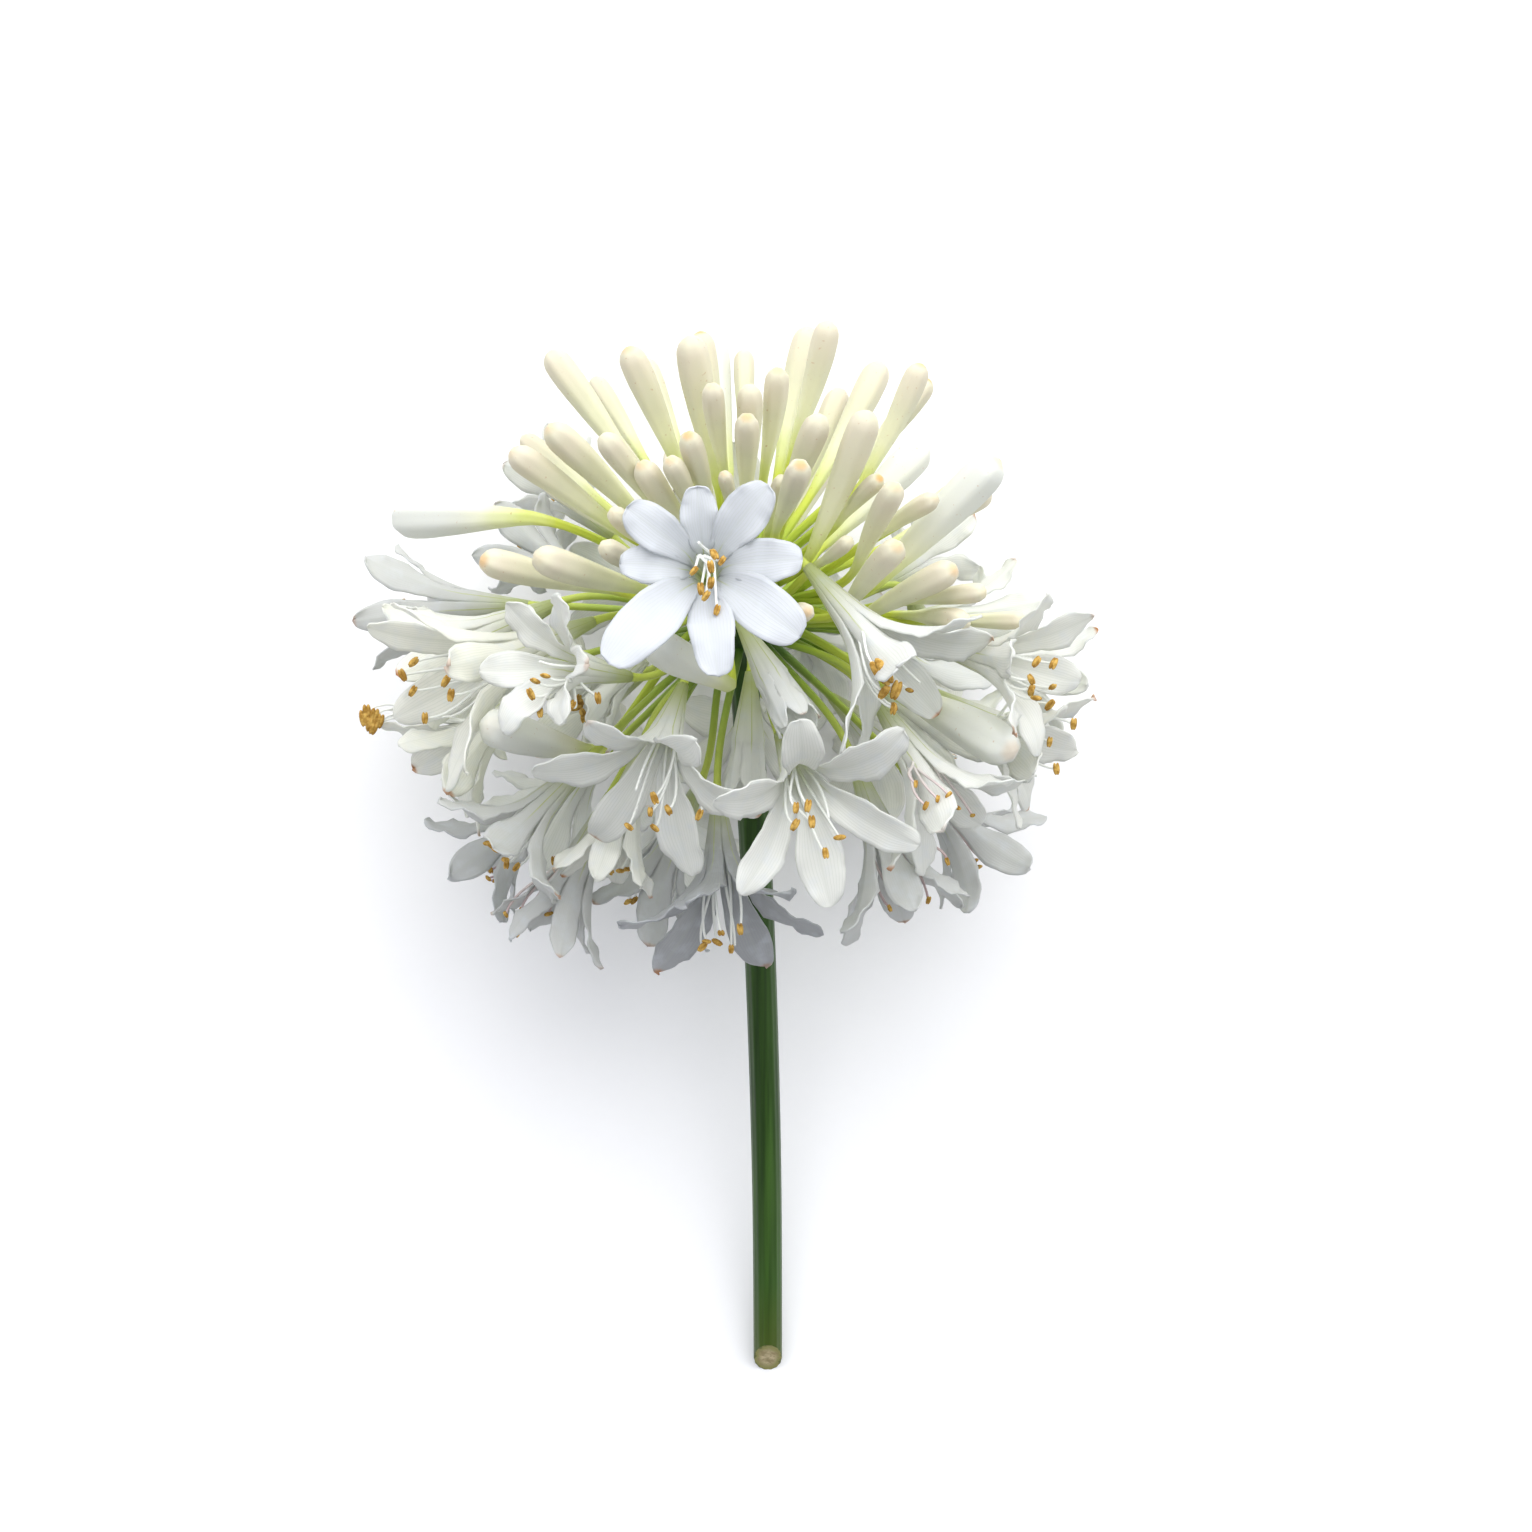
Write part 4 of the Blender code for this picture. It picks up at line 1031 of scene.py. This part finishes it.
class AGAPANTHUS_OT_stem(bpy.types.Operator):
    """Make the stem with its cut face, the receptacle and the flower stalks"""

    bl_idname = "agapanthus.stem"
    bl_label = "Stem and flower stalks"

    def execute(self, context):
        settings = context.scene.agapanthus_stem
        solid = Welded("scape")
        tree = swept_tree("stalks")
        skin = stem_surface(settings)

        # Stem: the lowest corners along it are the cut, and the rings follow from there.
        low = sorted(range(len(solid.places)), key=lambda c: solid.places[c].dot(STEM_UP))
        cut = low[:STEM_CORNERS]
        rings = solid.rings(set(cut))
        centres = [solid.middle(ring) for ring in rings]
        radii = []
        for ring, centre in zip(rings, centres):
            spokes = [solid.places[c] - centre for c in ring]
            radii.append(sum((s - STEM_UP * s.dot(STEM_UP)).length for s in spokes) / len(spokes))
        while centres and (centres[-1] - UMBEL_CENTRE).dot(STEM_UP) > STEM_END:
            centres.pop()
            radii.pop()
        # The foot is made longer, to be cut off along the slant.
        centres[0] = centres[0] - STEM_UP * FOOT_SPARE
        for rise, radius in RECEPTACLE:
            centres.append(UMBEL_CENTRE + STEM_UP * (rise * MM))
            radii.append(radius * MM)
        heights = [centre.dot(STEM_UP) for centre in centres]
        share = [(h - heights[0]) / (heights[-1] - heights[0]) for h in heights]
        last = share[-len(RECEPTACLE) - 1]
        below = np.linspace(0.0, last, STEM_POINTS)
        parts = np.concatenate([below, np.linspace(last, 1.0, RECEPTACLE_POINTS)[1:]])
        line = through(share, centres, parts)
        wide = np.maximum(through(share, radii, parts), LEAST_STEM)
        paths = Paths("stalk_radius", "along")
        paths.add([Vector(p) for p in line], stalk_radius=list(wide), along=list(parts))
        ribs = {"Ribs": settings.ribs, "Rib Depth": settings.rib_depth}
        stem = grown("stem", tree, paths, {"Sides": STEM_SIDES, **ribs, "Skin": skin})
        self.cut_through(stem, [solid.places[c] for c in cut], cut_surface(settings))
        kept_above_ground(stem)
        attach(stem, "root")
        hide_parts("scape")

        # Flower stalks: each follows the rings of its own stalk in the solid. It thins over its
        # first third, and swells again just under the flower.
        paths = Paths("stalk_radius", "along")
        for floret in florets():
            rings = solid.rings(set(solid.nearest(floret.foot, STALK_CORNERS)))
            start = self.root_of(solid, rings, floret)
            end = floret.foot + floret.axis * STALK_OVERLAP
            root = UMBEL_CENTRE + start * STALK_ROOT
            points = bend(root, start, end, floret.axis, STALK_STEPS)
            steps = [k / STALK_STEPS for k in range(STALK_STEPS + 1)]
            wide = [
                STALK_RADIUS
                - STALK_THINNING * min(t * 3, 1.0)
                + STALK_THINNING * max(t - (1.0 - STALK_NECK), 0.0) / STALK_NECK
                for t in steps
            ]
            paths.add(points, stalk_radius=[w * MM for w in wide], along=steps)
        skin = stalk_surface(settings)
        values = {"Sides": STALK_SIDES, "Ribs": 0, "Rib Depth": 0.0, "Skin": skin}
        stalks = grown("flower_stalks", tree, paths, values)
        kept_above_ground(stalks)
        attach(stalks, "root")
        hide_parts("scape")
        return {"FINISHED"}

    def root_of(self, solid, rings, floret):
        """Way in which a flower stalk leaves the receptacle, from the ring a third of the way."""
        end = floret.foot - floret.axis * STALK_GAP - UMBEL_CENTRE
        centres = [solid.middle(ring) for ring in rings[1:]]
        nearest, farthest = THIRD_RANGE
        found = [c for c in centres if nearest < (c - UMBEL_CENTRE).length < farthest]
        if not found:
            return (floret.foot - UMBEL_CENTRE).normalized()
        # A third of the way up, end and arrival weigh 7/27 and -2/27 in a smooth curve.
        third = found[0] - UMBEL_CENTRE
        way = third.normalized()
        for _ in range(4):
            reach = (end - way * STALK_ROOT).length
            way = (third - end * (7 / 27) + floret.axis * (reach * 2 / 27)).normalized()
        return way

    def cut_through(self, stem, corners, pith):
        """Cut the stem's foot along the slanting plane of the given corners."""
        stem.data.materials.append(pith)
        middle = sum(corners, Vector()) / len(corners)
        spokes = [corner - middle for corner in corners]
        longest = max(spokes, key=lambda spoke: spoke.length)
        across = max(spokes, key=lambda spoke: spoke.cross(longest).length)
        slope = longest.cross(across).normalized()
        if slope.dot(STEM_UP) > 0:
            slope = -slope
        work = bmesh.new()
        work.from_mesh(stem.data)
        parts = list(work.verts) + list(work.edges) + list(work.faces)
        done = bmesh.ops.bisect_plane(
            work, geom=parts, dist=1e-7, plane_co=middle, plane_no=slope, clear_outer=True
        )
        rim = [part for part in done["geom_cut"] if isinstance(part, bmesh.types.BMEdge)]
        face = bmesh.ops.holes_fill(work, edges=rim)["faces"]
        rings = bmesh.ops.inset_region(work, faces=face, thickness=CUT_RIM)["faces"]
        fan = bmesh.ops.poke(work, faces=face)["faces"]
        # Depth of the cut face from its middle, in stem radii.
        layer = work.verts.layers.float.new("cut_depth")
        for corner in work.verts:
            corner[layer] = 1.0
        for part in rings + fan:
            part.material_index = 1
            part.smooth = False
            for corner in part.verts:
                spoke = corner.co - middle
                corner[layer] = (spoke - STEM_UP * spoke.dot(STEM_UP)).length / CUT_RADIUS
        work.to_mesh(stem.data)
        work.free()


class AGAPANTHUS_OT_flowers(bpy.types.Operator):
    """Make the tube and tepals of every open floret"""

    bl_idname = "agapanthus.flowers"
    bl_label = "Open florets"

    def execute(self, context):
        settings = context.scene.agapanthus_flowers
        surface = tepal_surface(settings)
        for floret in florets():
            item = perianth(floret, settings, surface)
            kept_above_ground(item)
            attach(item, "root")
            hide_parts(floret.node)
        return {"FINISHED"}


class AGAPANTHUS_OT_stamens(bpy.types.Operator):
    """Make the filaments, styles and anthers of the open florets"""

    bl_idname = "agapanthus.stamens"
    bl_label = "Stamens"

    def execute(self, context):
        settings = context.scene.agapanthus_stamens
        threads = Paths("stalk_radius", "along", "withered")
        anthers = Paths("anther_way", "anther_size")
        nodes = []
        for floret in florets():
            if not floret.fertile:
                continue
            nodes.append(floret.node)
            draw = random.Random("stamens " + floret.name)
            seen = ANTHERS_SEEN.get(floret.name, ())
            sizes = ANTHER_SIZES.get(floret.name, ())
            for k, end in enumerate(self.ends(floret, draw)):
                self.thread(floret, threads, end, settings.filament_radius, k)
                # The last thread is the style, which has no anther.
                if k == floret.count:
                    continue
                way = Vector([draw.gauss(0.0, 1.0) for _ in range(3)]).normalized()
                way = (way + floret.axis * 0.4).normalized()
                if k < len(seen):
                    way = RIGHT * draw.gauss(0.2, 0.4) + TO_VIEWER * draw.gauss(0.0, 0.2)
                    way += PICTURE_UP
                size = sizes[k] if k < len(sizes) else draw.uniform(0.85, 1.15)
                if floret.name in WITHERED:
                    size *= SHRUNK
                anthers.add([end], anther_way=[way], anther_size=[size])
        skin = filament_surface(settings)
        values = {"Sides": FILAMENT_SIDES, "Ribs": 0, "Rib Depth": 0.0, "Skin": skin}
        filaments = grown("filaments", bpy.data.node_groups["stalks"], threads, values)
        values = {"Anther Length": settings.anther_length, "Skin": anther_surface(settings)}
        pollen = grown("anthers", anther_tree(), anthers, values)
        for item in (filaments, pollen):
            kept_above_ground(item)
            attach(item, "root")
            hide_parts(*nodes)
        return {"FINISHED"}

    def ends(self, floret, draw):
        """Where the anthers stand: as seen in the picture, or bowed toward the stem's foot."""
        reach = FILAMENT_REACH * floret.tepal_length
        out = floret.tepals[0][0]
        side = floret.axis.cross(out)
        down = -STEM_UP + floret.axis * STEM_UP.dot(floret.axis)
        guess = floret.mouth + floret.axis * (reach * 0.92)
        found = []
        for x, y in ANTHERS_SEEN.get(floret.name, ()):
            # Depth at which the picture point lies as far from the mouth as a filament reaches.
            depth = (guess - UMBEL_CENTRE).dot(TO_VIEWER)
            place = from_picture(x, y, depth)
            for _ in range(8):
                gap = (place - floret.mouth).length - reach
                step = TO_VIEWER.dot((place - floret.mouth).normalized())
                if abs(step) < 0.25:
                    break
                depth -= 0.6 * gap / step
                place = from_picture(x, y, depth)
            found.append(place)
        for k in range(len(found), floret.count + 1):
            turn = 2 * math.pi * (k + draw.uniform(-0.2, 0.2)) / floret.count
            way = turned(out, side, turn)
            bow = draw.uniform(0.16, 0.3)
            rise = reach * draw.uniform(0.86, 1.02)
            place = floret.mouth + floret.axis * rise + way * (reach * bow)
            found.append(place + down * (reach * draw.uniform(0.08, 0.22)))
        return found

    def thread(self, floret, threads, end, radius, k):
        """Filament from the throat floor to its anther, bowing outward on the way."""
        lean = end - floret.mouth
        lean = lean - floret.axis * lean.dot(floret.axis)
        out = floret.tepals[0][0]
        spoke = turned(out, floret.axis.cross(out), 2 * math.pi * k / (floret.count + 1))
        spoke = (spoke * 0.5 + lean.normalized()).normalized()
        if floret.name == "front":
            # The viewer looks into this throat, whose stamens all leave it on the upper side.
            spoke = (PICTURE_UP + RIGHT * (0.25 * (k - 3))).normalized()
        low = floret.mouth - floret.axis * THROAT_DEPTH + spoke * THROAT_FLOOR
        rim = floret.mouth + spoke * THROAT_RIM
        way = floret.axis * 0.85 - lean * (0.2 / max(lean.length, MM)) + STEM_UP * 0.25
        if floret.name == "front":
            way = end - rim
        points = bend(low, floret.axis, rim, floret.axis, THROAT_STEPS)
        leave = (floret.axis + spoke * 0.25).normalized()
        points += bend(rim, leave, end, way.normalized(), FILAMENT_STEPS)[1:]
        steps = [j / (len(points) - 1) for j in range(len(points))]
        wide = [radius * (1.0 - 0.35 * t) for t in steps]
        dry = [WITHERED.get(floret.name, 0.0) * t for t in steps]
        threads.add(points, stalk_radius=wide, along=steps, withered=dry)


class AGAPANTHUS_OT_buds(bpy.types.Operator):
    """Make the buds of every cluster with their stalks"""

    bl_idname = "agapanthus.buds"
    bl_label = "Bud clusters"

    def execute(self, context):
        settings = context.scene.agapanthus_buds
        skin = bud_surface(settings)
        tree = swept_tree("buds", BUD_CLUB)
        seams = {"Ribs": BUD_SEAMS, "Rib Depth": settings.seam}
        values = {"Sides": settings.sides, **seams, "Skin": skin}
        for node in sorted(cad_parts):
            if not node.startswith("buds_"):
                continue
            solid = Welded(node)
            heart = solid.middle(solid.nearest(UMBEL_CENTRE, 6))
            root = (heart - UMBEL_CENTRE).normalized()
            draw = random.Random(node)
            paths = Paths("along", "half_width", "stalk_radius", "age", "white")
            for tip, rings in solid.strips(BUD_CORNERS, 1):
                self.bud(solid, tip, rings, root, draw, paths)
            item = grown("bud_cluster_" + node[-2:], tree, paths, values)
            kept_above_ground(item)
            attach(item, "root")
            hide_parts(node)
        return {"FINISHED"}

    def bud(self, solid, tip, rings, root, draw, paths):
        """Path of one bud, whose tip and first ring give its length, width and lie."""
        point = solid.places[tip]
        centre = solid.middle(rings[0])
        spokes = [(solid.places[c] - centre).length for c in rings[0]]
        tall = (point - centre).length / BUD_RING_SHARE
        # Where the ring isn't round, or too near or far, the point isn't a bud's tip.
        if max(spokes) - min(spokes) > ROUND_ENOUGH or not LEAST_BUD < tall < GREATEST_BUD:
            return
        way = (point - centre).normalized()
        half = sum(spokes) / len(spokes) / BUD_RING_WIDTH
        foot = point - way * tall
        points = bend(UMBEL_CENTRE + root * BUD_ROOT, root, foot, way, BUD_STALK_STEPS)[:-1]
        along = [k / BUD_STALK_STEPS - 1.0 for k in range(BUD_STALK_STEPS)]

        # The bud bows a little to one side.
        sway = Matrix.Rotation(draw.uniform(0.0, 2 * math.pi), 3, way)
        sway = sway @ way.orthogonal().normalized()
        bow = draw.uniform(*BUD_BOW) * MM
        for k in range(BUD_STEPS + 1):
            part = 1.0 - (1.0 - k / BUD_STEPS) ** BUD_CROWDING
            points.append(foot + way * (tall * part) + sway * (bow * math.sin(math.pi * part)))
            along.append(part)
        wide = [half * (1.0 + 0.6 * min(max(part, -0.6), 0.0)) for part in along]
        narrow = [BUD_STALK if part < 0.4 else 0.02 * MM for part in along]
        age = draw.random() ** 2
        white = min(max((half - WHITE_START) / WHITE_SPAN, 0.0), 1.0)
        many = len(along)
        paths.add(
            points,
            along=along,
            half_width=wide,
            stalk_radius=narrow,
            age=[age] * many,
            white=[white] * many,
        )


class AGAPANTHUS_OT_stage(bpy.types.Operator):
    """Make the floor, the lights and the camera"""

    bl_idname = "agapanthus.stage"
    bl_label = "Floor, light and camera"

    def execute(self, context):
        scene = context.scene
        settings = scene.agapanthus_stage
        signs = ((-1, -1), (1, -1), (1, 1), (-1, 1))
        corners = [(x * FLOOR_HALF, y * FLOOR_HALF, 0.0) for x, y in signs]
        floor = mesh_piece("floor", corners, [(0, 1, 2, 3)], floor_surface(settings))

        # Broad soft light from beyond the head, as open sky gave it, and a weaker one from above.
        self.lamp("key", (0.25, 1.45, 1.4), 2.4, settings.key, linear("FFFDF8"))
        self.lamp("fill", (0.25, 0.45, 1.8), 2.2, settings.fill, linear("FAFBFF"))

        # Even light all round, weaker from the foot's side, so the lowest florets stand in shade.
        scene.world = bpy.data.worlds.new("even_light")
        scene.world.use_nodes = True
        node = partial(add_node, scene.world.node_tree)
        way = node("ShaderNodeTexCoord").outputs["Generated"]
        facing = {0: way, 1: Vector((0.0, 1.0, 0.0))}
        strength = {
            "Value": node("ShaderNodeVectorMath", facing, operation="DOT_PRODUCT"),
            "From Min": -1.0,
            "To Min": settings.sky * 0.1,
            "To Max": settings.sky * 1.9,
        }
        background = {"Color": linear("F1F3FC"), "Strength": node(RANGE, strength)}
        feed(scene.world.node_tree.nodes["Background"], background)
        scene.view_settings.view_transform = "Standard"

        # The viewer stands over the umbel's centre and frames the whole picture.
        lens = bpy.data.cameras.new("camera")
        lens.sensor_width = SENSOR_WIDTH
        lens.lens = SENSOR_WIDTH * VIEW_DISTANCE / (PICTURE_SIDE / PIXELS_PER_METRE)
        camera = new_object("camera", lens)
        eye = UMBEL_CENTRE + TO_VIEWER * VIEW_DISTANCE
        aim = from_picture(PICTURE_SIDE / 2, PICTURE_SIDE / 2, 0.0)
        back = (eye - aim).normalized()
        right = PICTURE_UP.cross(back).normalized()
        turn = Matrix((right, back.cross(right), back)).transposed().to_4x4()
        camera.matrix_world = Matrix.Translation(eye) @ turn
        scene.camera = camera
        return {"FINISHED"}

    def lamp(self, name, place, size, power, tint):
        """Square soft light aimed at the flower head."""
        light = bpy.data.lights.new(name, "AREA")
        light.size = size
        light.energy = power
        light.color = tint
        item = new_object(name, light)
        item.location = place
        way = UMBEL_CENTRE - item.location
        item.rotation_euler = way.to_track_quat("-Z", "Y").to_euler()


class AGAPANTHUS_PT_panel(bpy.types.Panel):
    """Sizes, colours and steps of the flower head"""

    bl_idname = "AGAPANTHUS_PT_panel"
    bl_label = "Agapanthus flower head"
    bl_space_type = "VIEW_3D"
    bl_region_type = "UI"
    bl_category = "Agapanthus"

    def draw(self, context):
        for operator, group, _ in STEPS:
            box = self.layout.box()
            box.operator(operator.bl_idname)
            settings = getattr(context.scene, group)
            for name in settings.__annotations__:
                box.prop(settings, name)


# Each step, the name of its settings in the scene, and their class.
STEPS = (
    (AGAPANTHUS_OT_stem, "agapanthus_stem", StemSettings),
    (AGAPANTHUS_OT_flowers, "agapanthus_flowers", FlowerSettings),
    (AGAPANTHUS_OT_stamens, "agapanthus_stamens", StamenSettings),
    (AGAPANTHUS_OT_buds, "agapanthus_buds", BudSettings),
    (AGAPANTHUS_OT_stage, "agapanthus_stage", StageSettings),
)


def register():
    """Add the settings, the operators and the panel."""
    for operator, name, group in STEPS:
        bpy.utils.register_class(group)
        setattr(bpy.types.Scene, name, PointerProperty(type=group))
        bpy.utils.register_class(operator)
    bpy.utils.register_class(AGAPANTHUS_PT_panel)


def unregister():
    """Take them away again."""
    bpy.utils.unregister_class(AGAPANTHUS_PT_panel)
    for operator, name, group in STEPS:
        bpy.utils.unregister_class(operator)
        delattr(bpy.types.Scene, name)
        bpy.utils.unregister_class(group)


def main():
    """Register, and make every piece in order."""
    register()
    bpy.ops.agapanthus.stem()
    bpy.ops.agapanthus.flowers()
    bpy.ops.agapanthus.stamens()
    bpy.ops.agapanthus.buds()
    bpy.ops.agapanthus.stage()


if __name__ == "__main__":
    main()
